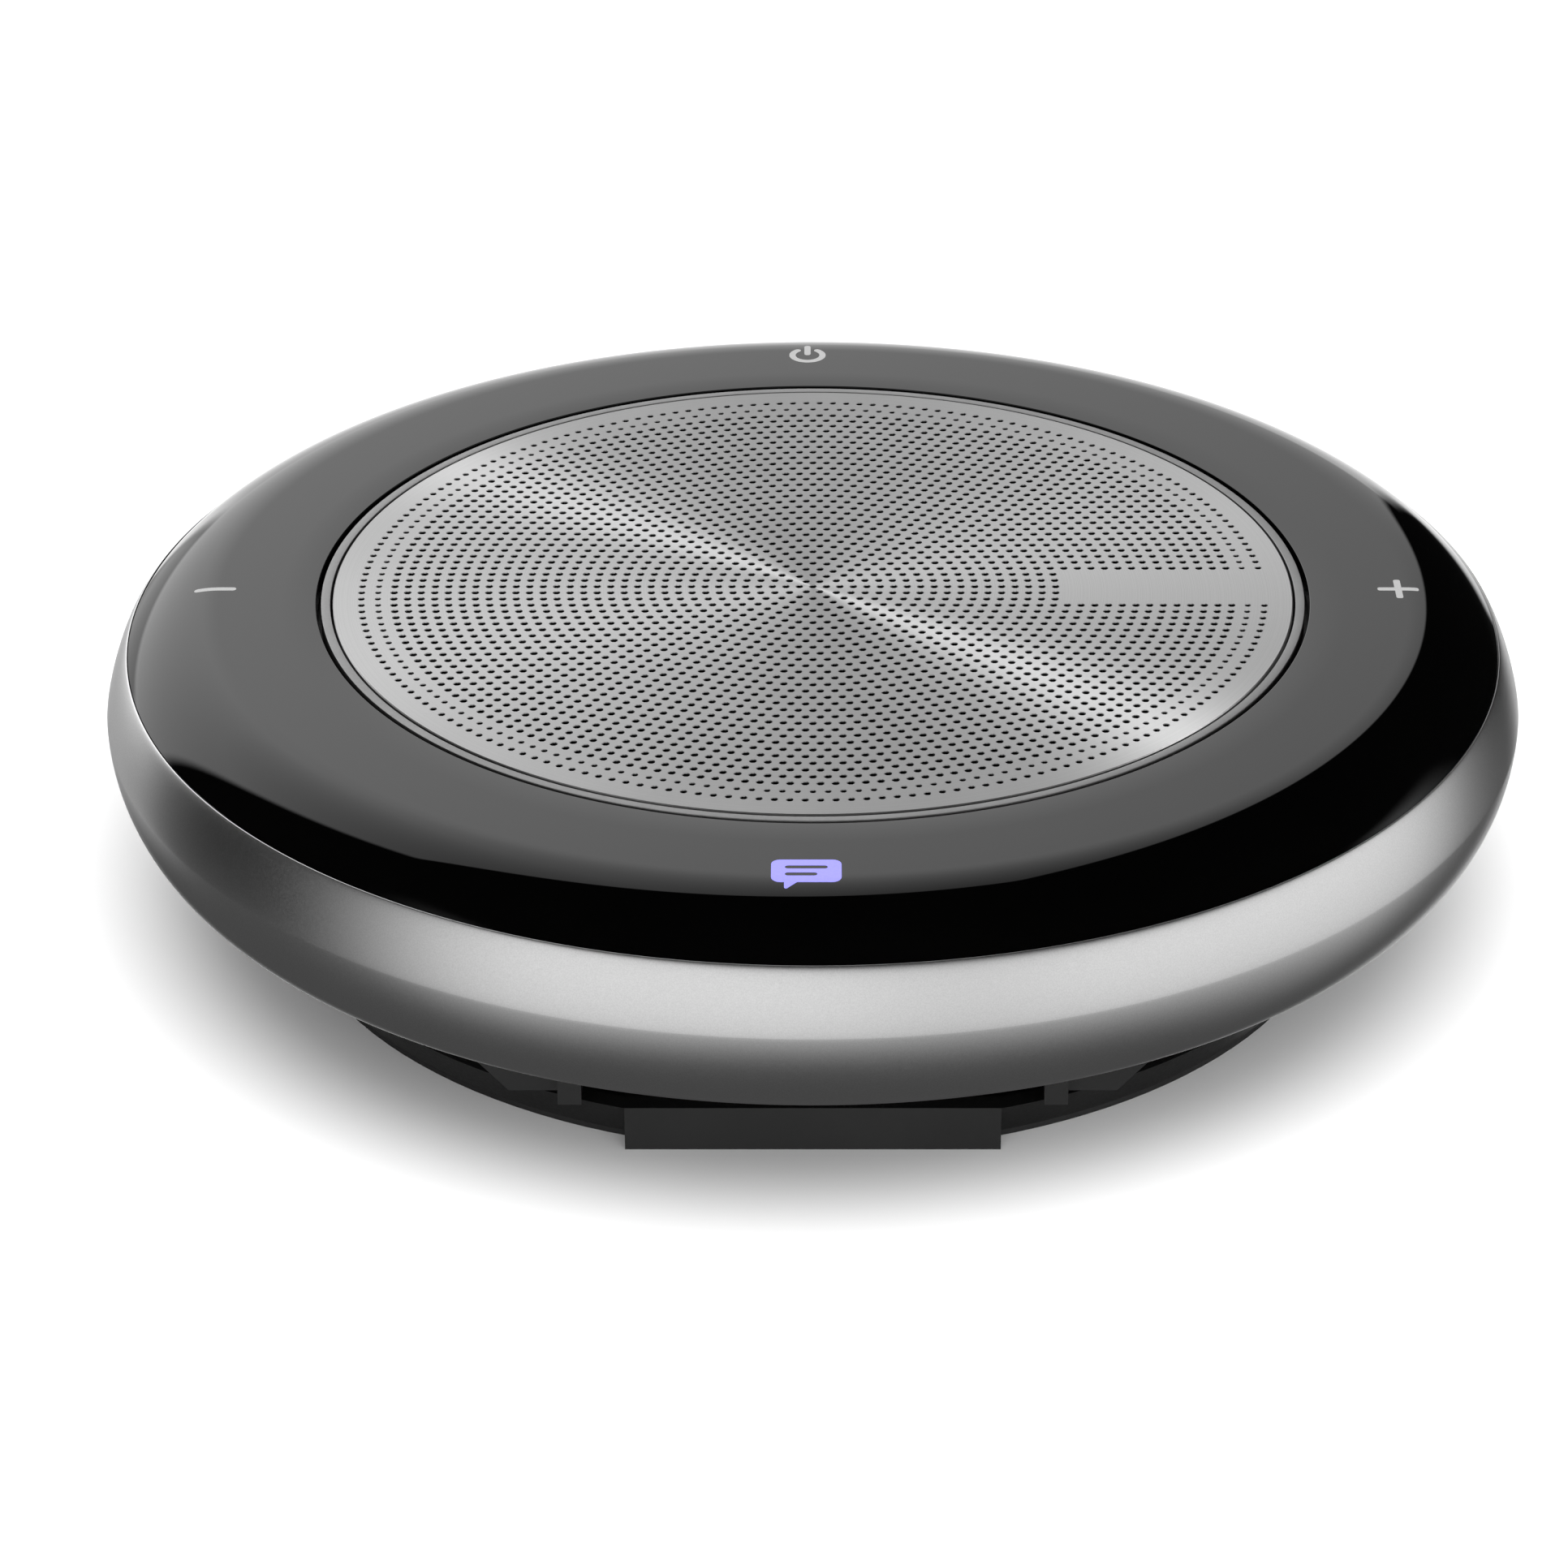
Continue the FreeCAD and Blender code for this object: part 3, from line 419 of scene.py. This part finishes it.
SEAM_GAP = 0.04
LIP_EDGE = 0.06
LIP_DEPTH = 0.6
LIP_SLOPE = 0.9
LIP_FOOT = 1.2
INSIDE_STRIDE = 4
LIP_INNER = BEZEL_RADIUS + SEAM_GAP
LIP_OUTER = BEZEL_RADIUS + RING_LIP
upper = superellipse(LIP_OUTER, RING_UPPER_POWER, RING_TOP, 40)
lower = superellipse(RING_RADIUS - RING_UNDERCUT, RING_LOWER_POWER, RING_BOTTOM, 44)
outside = upper[::-1] + lower[1:]
inside = []
for i in range(INSIDE_STRIDE, len(outside) - 1, INSIDE_STRIDE):
    before, here, after = outside[i - 1], outside[i], outside[i + 1]
    across = Vector((after[0] - before[0], after[1] - before[1])).normalized()
    spot = (here[0] + across.y * RING_WALL, here[1] - across.x * RING_WALL)
    if RING_BOTTOM + RING_WALL < spot[1] < RING_TOP - RING_WALL / 2:
        inside.append(spot)
ring_bore = RING_RADIUS - RING_UNDERCUT - RING_WALL
ring_foot = [(ring_bore, RING_BOTTOM), (ring_bore, RING_BOTTOM + RING_WALL)]
ring_lip = [(LIP_INNER - LIP_SLOPE, RING_TOP - LIP_FOOT), (LIP_INNER, RING_TOP - LIP_DEPTH),
            (LIP_INNER, RING_TOP - LIP_EDGE), (LIP_INNER + LIP_EDGE, RING_TOP)]
revolve("housing_ring_shell", outside + ring_foot + inside[::-1] + ring_lip, "housing_silver",
        "housing_ring")


# ---------------------------------------------------------------- bezel, trim ring

def roll(depth, steps, last):
    """The bezel's rolled edge, as far below its top skin as depth says."""
    radius = BEZEL_ROLL - depth
    out = []
    for k in range(steps + 1):
        a = last * k / steps
        out.append((ROLL_START + radius * math.sin(a),
                    HEIGHT - BEZEL_ROLL + radius * math.cos(a)))
    return out


ROLL_ANGLE = math.asin(BEZEL_ROLL_WIDTH / BEZEL_ROLL)
UNDER_SHARE = 0.93
BORE_FLAT = 3
bezel_bore = TRIM_RADIUS + BEZEL_GAP
skin = roll(0.0, 40, ROLL_ANGLE)
skin[-1] = (BEZEL_RADIUS, BEZEL_SEAM)
under = roll(BEZEL_WALL, 20, ROLL_ANGLE * UNDER_SHARE)
edge = rounded([(bezel_bore, HEIGHT - BEZEL_WALL), (bezel_bore, HEIGHT),
                (bezel_bore + BORE_FLAT, HEIGHT)], [0, BEZEL_BORE_ROUND, 0], 6)
revolve("touch_bezel_skin", edge + skin + [(BEZEL_RADIUS - BEZEL_SKIRT, BEZEL_SEAM)] + under[::-1],
        "bezel_gloss", "touch_bezel")

trim_bore = GRILLE_RADIUS + TRIM_GAP
trim_outline = rounded([(trim_bore, TRIM_TOP), (TRIM_RADIUS, TRIM_TOP), (TRIM_RADIUS, TRIM_FOOT),
                        (trim_bore, TRIM_FOOT)],
                       [TRIM_TOP_ROUND] * 2 + [TRIM_FOOT_ROUND] * 2, 5)
revolve("trim_ring_band", trim_outline, "trim_grey", "trim_ring")


# ---------------------------------------------------------------- grille

PITCH = GRILLE_RADIUS / 35.5
FULL_RINGS = 31
OUTER_RINGS = ((32.18, 192, 0.82), (33.40, 198, 0.91))
PAD_START = 18.5
PAD_HALF = 2.6
HOLE_RADIUS = 0.305
HOLE_FLARE = 0.035
FLARE_DEPTH = 0.07
HOLE_SIDES = 8
RIM_STEPS = 256
RIM_ROUND = 0.08
SNAP = 1e-5


def grille_holes():
    """Centre and size of each hole, in rings that gain six holes each."""
    spots = [(0.0, 0.0, 1.0)]
    rings = [(n, 6 * n, 1.0) for n in range(1, FULL_RINGS + 1)] + list(OUTER_RINGS)
    for place, count, size in rings:
        for k in range(count):
            a = 2 * math.pi * k / count
            x, y = place * math.cos(a), place * math.sin(a)
            if x > PAD_START and abs(y) < PAD_HALF:
                continue
            spots.append((x * PITCH, y * PITCH, size))
    return spots


def circle(x, y, radius, steps, offset=0.0):
    """Points round a centre."""
    turns = [2 * math.pi * (k + offset) / steps for k in range(steps)]
    return [Vector((x + radius * math.cos(a), y + radius * math.sin(a))) for a in turns]


def make_grille():
    """The disc: a flat top, flared holes cut through it with painted shade on their walls, and a
    rounded rim.
    """
    spots = grille_holes()
    flat = circle(0, 0, GRILLE_RADIUS - RIM_ROUND, RIM_STEPS)
    loops = [list(range(RIM_STEPS))]
    for x, y, size in spots:
        loops.append(list(range(len(flat), len(flat) + HOLE_SIDES)))
        flat += circle(x, y, (HOLE_RADIUS + HOLE_FLARE) * size, HOLE_SIDES, 0.5)
    edges = [(loop[i], loop[(i + 1) % len(loop)]) for loop in loops for i in range(len(loop))]
    points, _, triangles, origins = delaunay_2d_cdt(flat, edges, [], 0, SNAP)[:4]
    back = {ids[0]: i for i, ids in enumerate(origins) if ids}
    owner = {}
    for index, loop in enumerate(loops[1:]):
        for v in loop:
            owner[back[v]] = index
    keep = [t for t in triangles if len({owner.get(v, -1 - v) for v in t}) > 1]
    count = len(points)
    narrow = [Vector(p) for p in points]
    for index, loop in enumerate(loops[1:]):
        centre = Vector(spots[index][:2])
        for v in loop:
            away = points[back[v]] - centre
            narrow[back[v]] = centre + away * (HOLE_RADIUS / (HOLE_RADIUS + HOLE_FLARE))
    low = HEIGHT - GRILLE_THICK
    verts = [(p.x * MM, p.y * MM, HEIGHT * MM) for p in points]
    verts += [(p.x * MM, p.y * MM, (HEIGHT - FLARE_DEPTH) * MM) for p in narrow]
    verts += [(p.x * MM, p.y * MM, low * MM) for p in narrow]
    spread = GRILLE_RADIUS / (GRILLE_RADIUS - RIM_ROUND)
    for v in loops[0]:
        i = back[v]
        x, y, _ = verts[i]
        for level, height in ((1, HEIGHT - RIM_ROUND), (2, low)):
            verts[i + level * count] = (x * spread, y * spread, height * MM)
    faces = [tuple(t) for t in keep]
    faces += [tuple(v + 2 * count for v in reversed(t)) for t in keep]
    shade_walls = []
    for number, loop in enumerate(loops):
        ids = [back[v] for v in loop]
        for i, a in enumerate(ids):
            b = ids[(i + 1) % len(ids)]
            for level in (0, 1):
                u, w = a + level * count, b + level * count
                if number and level:
                    shade_walls.append(len(faces))
                faces.append((w, u, u + count, w + count))
    mesh = bpy.data.meshes.new("speaker_grille_disc")
    mesh.from_pydata(verts, [], faces)
    # The hole walls below the flare take slot 1, a near-black painted shade standing in for the
    # shade inside the holes.
    for index in shade_walls:
        mesh.polygons[index].material_index = 1
    face_outward(mesh)
    disc = add_object("speaker_grille_disc", mesh, LOOKS["spun_aluminium"],
                      ["speaker_grille"])
    mesh.materials.append(LOOKS["hole_black"])
    return disc


grille = make_grille()


# ---------------------------------------------------------------- cone suspension

def suspension(name, node, slot):
    """A soft ring copied from its CAD node, with its own material and its transform baked in."""
    mesh = NODES[node].data.copy()
    mesh.name = name
    obj = bpy.data.objects.new(name, mesh)
    SCENE.collection.objects.link(obj)
    mesh.materials.clear()
    mesh.materials.append(LOOKS[slot])
    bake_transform(obj)
    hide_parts(node)


suspension("surround_roll", "surround", "surround_rubber")
suspension("spider_disc", "spider", "spider_cloth")


# ---------------------------------------------------------------- icons

ICON_TOP = HEIGHT + 0.02
ICON_DEPTH = 0.1
ICON_STEP = 0.25
REFINE_PASSES = 3
END_STEPS = 8
ARC_STEPS = 40


def dense(outline):
    """The outline with points no more than ICON_STEP apart."""
    out = []
    for i, (x, y) in enumerate(outline):
        u, v = outline[(i + 1) % len(outline)]
        parts = max(1, math.ceil(math.hypot(u - x, v - y) / ICON_STEP))
        out += [(x + (u - x) * k / parts, y + (v - y) * k / parts) for k in range(parts)]
    return out


def refine(mesh, longest):
    """Splits a flat mesh's long edges a few times, so that it can follow a curved skin."""
    bm = bmesh.new()
    bm.from_mesh(mesh)
    for _ in range(REFINE_PASSES):
        long = [e for e in bm.edges if e.calc_length() > longest]
        bmesh.ops.subdivide_edges(bm, edges=long, cuts=1)
        bmesh.ops.triangulate(bm, faces=bm.faces[:])
    bm.to_mesh(mesh)
    bm.free()


def flat_piece(name, outlines, centre, slot):
    """A thin inlay draped on the bezel: outlines in millimetres round its centre, filled."""
    curve = bpy.data.curves.new(name, "CURVE")
    curve.dimensions = "2D"
    curve.fill_mode = "BOTH"
    curve.extrude = ICON_DEPTH / 2 * MM
    for coarse in outlines:
        outline = dense(coarse)
        spline = curve.splines.new("POLY")
        spline.points.add(len(outline) - 1)
        for point, (x, y) in zip(spline.points, outline):
            point.co = ((centre[0] + x) * MM, (centre[1] + y) * MM, 0, 1)
        spline.use_cyclic_u = True
    source = bpy.data.objects.new(name + "_outline", curve)
    SCENE.collection.objects.link(source)
    bpy.context.view_layer.update()
    mesh = bpy.data.meshes.new_from_object(source)
    bpy.data.objects.remove(source)
    refine(mesh, ICON_STEP * MM)
    for vert in mesh.vertices:
        across = math.hypot(vert.co.x, vert.co.y) / MM - ROLL_START
        fall = BEZEL_ROLL - math.sqrt(BEZEL_ROLL ** 2 - max(across, 0.0) ** 2)
        vert.co.z += (ICON_TOP - ICON_DEPTH / 2 - fall) * MM
    mesh.materials.clear()
    return add_object(name, mesh, LOOKS[slot])


def bar(x0, y0, x1, y1, width):
    """A round-ended stroke."""
    a = math.atan2(y1 - y0, x1 - x0)
    out = []
    for cx, cy, turn in ((x1, y1, -math.pi / 2), (x0, y0, math.pi / 2)):
        for k in range(END_STEPS + 1):
            t = a + turn + math.pi * k / END_STEPS
            out.append((cx + width / 2 * math.cos(t), cy + width / 2 * math.sin(t)))
    return out


def arc_band(radius, width, start, end):
    """An open ring with round ends."""
    def side(at, first, last):
        turns = [first + (last - first) * k / ARC_STEPS for k in range(ARC_STEPS + 1)]
        return [(at * math.cos(t), at * math.sin(t)) for t in turns]

    def cap(at, first):
        x, y = radius * math.cos(at), radius * math.sin(at)
        turns = [first + math.pi * k / END_STEPS for k in range(1, END_STEPS)]
        return [(x + width / 2 * math.cos(t), y + width / 2 * math.sin(t)) for t in turns]

    return (side(radius + width / 2, start, end) + cap(end, end)
            + side(radius - width / 2, end, start) + cap(start, start + math.pi))


# Every symbol sits close to the touch circle; centres and outlines are in millimetres.
ICON_SHIFT = -0.5
STROKE = 0.58
HALF = STROKE / 2

POWER_CENTRE = (ICON_SHIFT, TOUCH_CIRCLE + 0.6)
POWER_RADIUS = 1.4
POWER_OPENING = 40
POWER_BAR = (0.3, 2.0)
flat_piece("icon_power",
           [arc_band(POWER_RADIUS, STROKE, math.radians(90 + POWER_OPENING),
                     math.radians(450 - POWER_OPENING)),
            bar(0, POWER_BAR[0], 0, POWER_BAR[1], STROKE)],
           POWER_CENTRE, "icon_diffuser")

MINUS_CENTRE = (-TOUCH_CIRCLE - 2.15, ICON_SHIFT)
MINUS_REACH = 1.5
flat_piece("icon_minus", [bar(-MINUS_REACH, 0, MINUS_REACH, 0, STROKE)], MINUS_CENTRE,
           "icon_diffuser")

PLUS_CENTRE = (TOUCH_CIRCLE + 1.1, ICON_SHIFT)
PLUS_REACH = 1.75
PLUS_ROUND = 0.2
plus = [(-PLUS_REACH, HALF), (-HALF, HALF), (-HALF, PLUS_REACH), (HALF, PLUS_REACH), (HALF, HALF),
        (PLUS_REACH, HALF), (PLUS_REACH, -HALF), (HALF, -HALF), (HALF, -PLUS_REACH),
        (-HALF, -PLUS_REACH), (-HALF, -HALF), (-PLUS_REACH, -HALF)]
inner = [(-HALF, HALF), (HALF, HALF), (HALF, -HALF), (-HALF, -HALF)]
plus_round = [0 if corner in inner else PLUS_ROUND for corner in plus]
flat_piece("icon_plus", [rounded(plus, plus_round, 4)], PLUS_CENTRE, "icon_diffuser")

CALL_CENTRE = (ICON_SHIFT, -TOUCH_CIRCLE - 1.3)
CALL_ROUND = 0.7
CALL_TAIL_ROUND = 0.15
CALL_LINE = 0.5
bubble = [(-2.7, 1.9), (2.7, 1.9), (2.7, -1.5), (-0.7, -1.5), (-1.7, -2.5), (-1.7, -1.5),
          (-2.7, -1.5)]
bubble_round = [CALL_ROUND] * 3 + [0, CALL_TAIL_ROUND, 0, CALL_ROUND]
flat_piece("icon_call",
           [rounded(bubble, bubble_round, 5), bar(-1.4, 0.75, 1.4, 0.75, CALL_LINE),
            bar(-1.4, -0.35, 0.6, -0.35, CALL_LINE)],
           CALL_CENTRE, "icon_lit")


# ---------------------------------------------------------------- floor, light, camera

FLOOR_HALF = 30.0
FLOOR_GREY = 0.9


def make_floor():
    """A pale floor, in metres, that can be seen through from below."""
    mesh = bpy.data.meshes.new("studio_floor")
    corners = [(-1, -1), (1, -1), (1, 1), (-1, 1)]
    mesh.from_pydata([(x * FLOOR_HALF, y * FLOOR_HALF, 0) for x, y in corners], [],
                     [(0, 1, 2, 3)])
    floor = bpy.data.objects.new("studio_floor", mesh)
    SCENE.collection.objects.link(floor)
    s = Shader("floor_look", Roughness=0.9, Specular_IOR_Level=0.0)
    s.main.inputs["Base Color"].default_value = (*grey(FLOOR_GREY), 1)
    back = s.node("ShaderNodeNewGeometry").outputs["Backfacing"]
    clear = s.node("ShaderNodeBsdfTransparent")
    mix = s.node("ShaderNodeMixShader")
    s.link(back, mix.inputs[0])
    s.link(s.main.outputs[0], mix.inputs[1])
    s.link(clear.outputs[0], mix.inputs[2])
    s.link(mix.outputs[0], s.tree.nodes["Material Output"].inputs["Surface"])
    mesh.materials.append(s.material)
    floor.visible_glossy = False
    return floor


class World(Shader):
    """Nodes that give light by direction: azimuth from +Y to the right, and level, in degrees."""

    def __init__(self):
        world = bpy.data.worlds.new("studio_world")
        SCENE.world = world
        world.use_nodes = True
        self.tree = world.node_tree
        self.tree.nodes.clear()
        way = self.node("ShaderNodeTexCoord").outputs["Generated"]
        xyz = self.node("ShaderNodeSeparateXYZ")
        self.link(way, xyz.inputs[0])
        x, y, z = xyz.outputs
        self.azimuth = self.math("DEGREES", self.math("ARCTAN2", x, y))
        self.level = self.math("DEGREES", self.math("ARCSINE", z))

    def plus(self, *values):
        total = values[0]
        for value in values[1:]:
            total = self.math("ADD", total, value)
        return total

    def times(self, a, b):
        return self.math("MULTIPLY", a, b)

    def clamp(self, value, low, high):
        return self.math("MINIMUM", self.math("MAXIMUM", value, low), high)

    def step(self, value, start, end):
        """A smooth rise from 0 to 1, or a fall where start is above end."""
        made = self.node("ShaderNodeMapRange", interpolation_type="SMOOTHSTEP")
        made.inputs["From Min"].default_value = start
        made.inputs["From Max"].default_value = end
        self.link(value, made.inputs["Value"])
        return made.outputs[0]

    def window(self, value, low, high, soft_low, soft_high):
        """1 between low and high, with soft edges."""
        up = self.step(value, low - soft_low, low + soft_low)
        down = self.step(value, high + soft_high, high - soft_high)
        return self.times(up, down)

    def around(self, centre):
        """Azimuth from a centre, wrapped to half a turn either way."""
        away = self.math("SUBTRACT", self.azimuth, centre)
        return self.math("WRAP", away, 180.0, -180.0)

    def panel(self, centre, half, low, high, soft, soft_low, soft_high, power):
        side = self.window(self.around(centre), -half, half, soft, soft)
        tall = self.window(self.level, low, high, soft_low, soft_high)
        return self.times(self.times(side, tall), power)

    def background(self):
        made = self.node("ShaderNodeBackground")
        made.inputs["Color"].default_value = (*grey(1.0), 1)
        return made


# Low panels: centre azimuth, half width, bottom and top level, softness of the sides, of the
# bottom and of the top, strength.
LOW_PANELS = (
    (-1, 16.5, -40, 3, 1.5, 4, 2, 1.3),
    (-36, 19, -30, 3, 3, 5, 2, 0.38),
    (20.5, 5, -40, -9, 1.5, 4, 3, 1.2),
    (-36, 19, -12, 3, 3, 4, 2, 0.35),
)

# The tall back panel is flat, so its top and bottom are slopes at its middle, not levels.
BACK_CENTRE = -20
BACK_HALF = 35.5
BACK_SIDES_SOFT = (2, 0.6)
BACK_SLOPES = (0.05, 1.88)
BACK_SLOPE_SOFT = 0.03
# Its strength falls to the right and upward: gain and start of each line, then its limits.
BACK_ACROSS = (-0.026, 1.12)
BACK_ACROSS_LIMITS = (0.74, 1.5)
BACK_UPWARD = (-0.02, 1.68)
BACK_UPWARD_LIMITS = (0.45, 1.0)

# The long front panel's top edge sinks as it goes round.
FRONT_CENTRE = 155.5
FRONT_HALF = 89.5
FRONT_SIDES_SOFT = (12, 20)
FRONT_FOOT = (-62, 12)
FRONT_SINK = -0.1
FRONT_TOP = (28, 20)
FRONT_POWER = 0.92
DIP_CENTRE = 158
DIP_HALF = 10
DIP_POWER = 0.14

GLOW_LEVELS = (0, -25)
GLOW_POWER = 0.06
AMBIENT = 0.005


def back_panel(w):
    across = w.clamp(w.math("MULTIPLY_ADD", w.azimuth, *BACK_ACROSS), *BACK_ACROSS_LIMITS)
    upward = w.clamp(w.math("MULTIPLY_ADD", w.level, *BACK_UPWARD), *BACK_UPWARD_LIMITS)
    aside = w.around(BACK_CENTRE)
    slope = w.math("DIVIDE", w.math("TANGENT", w.math("RADIANS", w.level)),
                   w.math("COSINE", w.math("RADIANS", aside)))
    shape = w.times(w.window(aside, -BACK_HALF, BACK_HALF, *BACK_SIDES_SOFT),
                    w.window(slope, *BACK_SLOPES, BACK_SLOPE_SOFT, BACK_SLOPE_SOFT))
    return w.times(shape, w.times(across, upward))


def front_panel(w):
    aside = w.around(FRONT_CENTRE)
    sunk = w.math("MULTIPLY_ADD", w.plus(aside, FRONT_HALF), FRONT_SINK, w.level)
    shape = w.times(w.window(aside, -FRONT_HALF, FRONT_HALF, *FRONT_SIDES_SOFT),
                    w.times(w.step(w.level, *FRONT_FOOT), w.step(sunk, *FRONT_TOP)))
    dip = w.window(w.around(DIP_CENTRE), -DIP_HALF, DIP_HALF, DIP_HALF, DIP_HALF)
    return w.times(shape, w.math("SUBTRACT", FRONT_POWER, w.times(dip, DIP_POWER)))


def make_world():
    """Studio panels for light and reflections, and plain white for the camera."""
    w = World()
    glow = w.times(w.step(w.level, *GLOW_LEVELS), GLOW_POWER)
    low = [w.panel(*values) for values in LOW_PANELS]
    lit = w.background()
    w.link(w.plus(back_panel(w), front_panel(w), *low, glow, AMBIENT), lit.inputs["Strength"])
    seen = w.node("ShaderNodeLightPath").outputs["Is Camera Ray"]
    mix = w.node("ShaderNodeMixShader")
    w.link(seen, mix.inputs[0])
    w.link(lit.outputs[0], mix.inputs[1])
    w.link(w.background().outputs[0], mix.inputs[2])
    w.link(mix.outputs[0], w.node("ShaderNodeOutputWorld").inputs[0])


def sun(name, azimuth, elevation, strength, spread, receivers):
    """A soft light from one direction, in degrees, that falls on the given objects only."""
    light = bpy.data.lights.new(name, "SUN")
    light.energy = strength
    light.angle = math.radians(spread)
    obj = bpy.data.objects.new(name, light)
    SCENE.collection.objects.link(obj)
    a, e = math.radians(azimuth), math.radians(elevation)
    way = Vector((math.sin(a) * math.cos(e), math.cos(a) * math.cos(e), math.sin(e)))
    obj.rotation_mode = "QUATERNION"
    obj.rotation_quaternion = way.to_track_quat("Z", "Y")
    group = bpy.data.collections.new(name + "_receivers")
    for receiver in receivers:
        group.objects.link(receiver)
    obj.light_linking.receiver_collection = group


floor = make_floor()
make_world()
sun("floor_light_high", 180, 75, 1.8, 54, [floor])
sun("floor_light_wide", 160, 55, 2.95, 88, [floor])
sun("grille_light", 47, 46, 1.2, 4, [grille])

# The camera stands in front, in metres, and looks down.
CAMERA_PLACE = (0, -0.4013, 0.22366)
CAMERA_PITCH = 28.1
LENS = 120.73
SENSOR = 36
SHIFT = (-0.0184, -0.0012)
CLIP = (0.01, 100)

camera = bpy.data.cameras.new("camera")
camera.lens = LENS
camera.sensor_width = SENSOR
camera.shift_x, camera.shift_y = SHIFT
camera.clip_start, camera.clip_end = CLIP
viewer = bpy.data.objects.new("camera", camera)
viewer.location = CAMERA_PLACE
viewer.rotation_euler = (math.radians(90 - CAMERA_PITCH), 0, 0)
SCENE.collection.objects.link(viewer)
SCENE.camera = viewer
SCENE.view_settings.view_transform = "Standard"
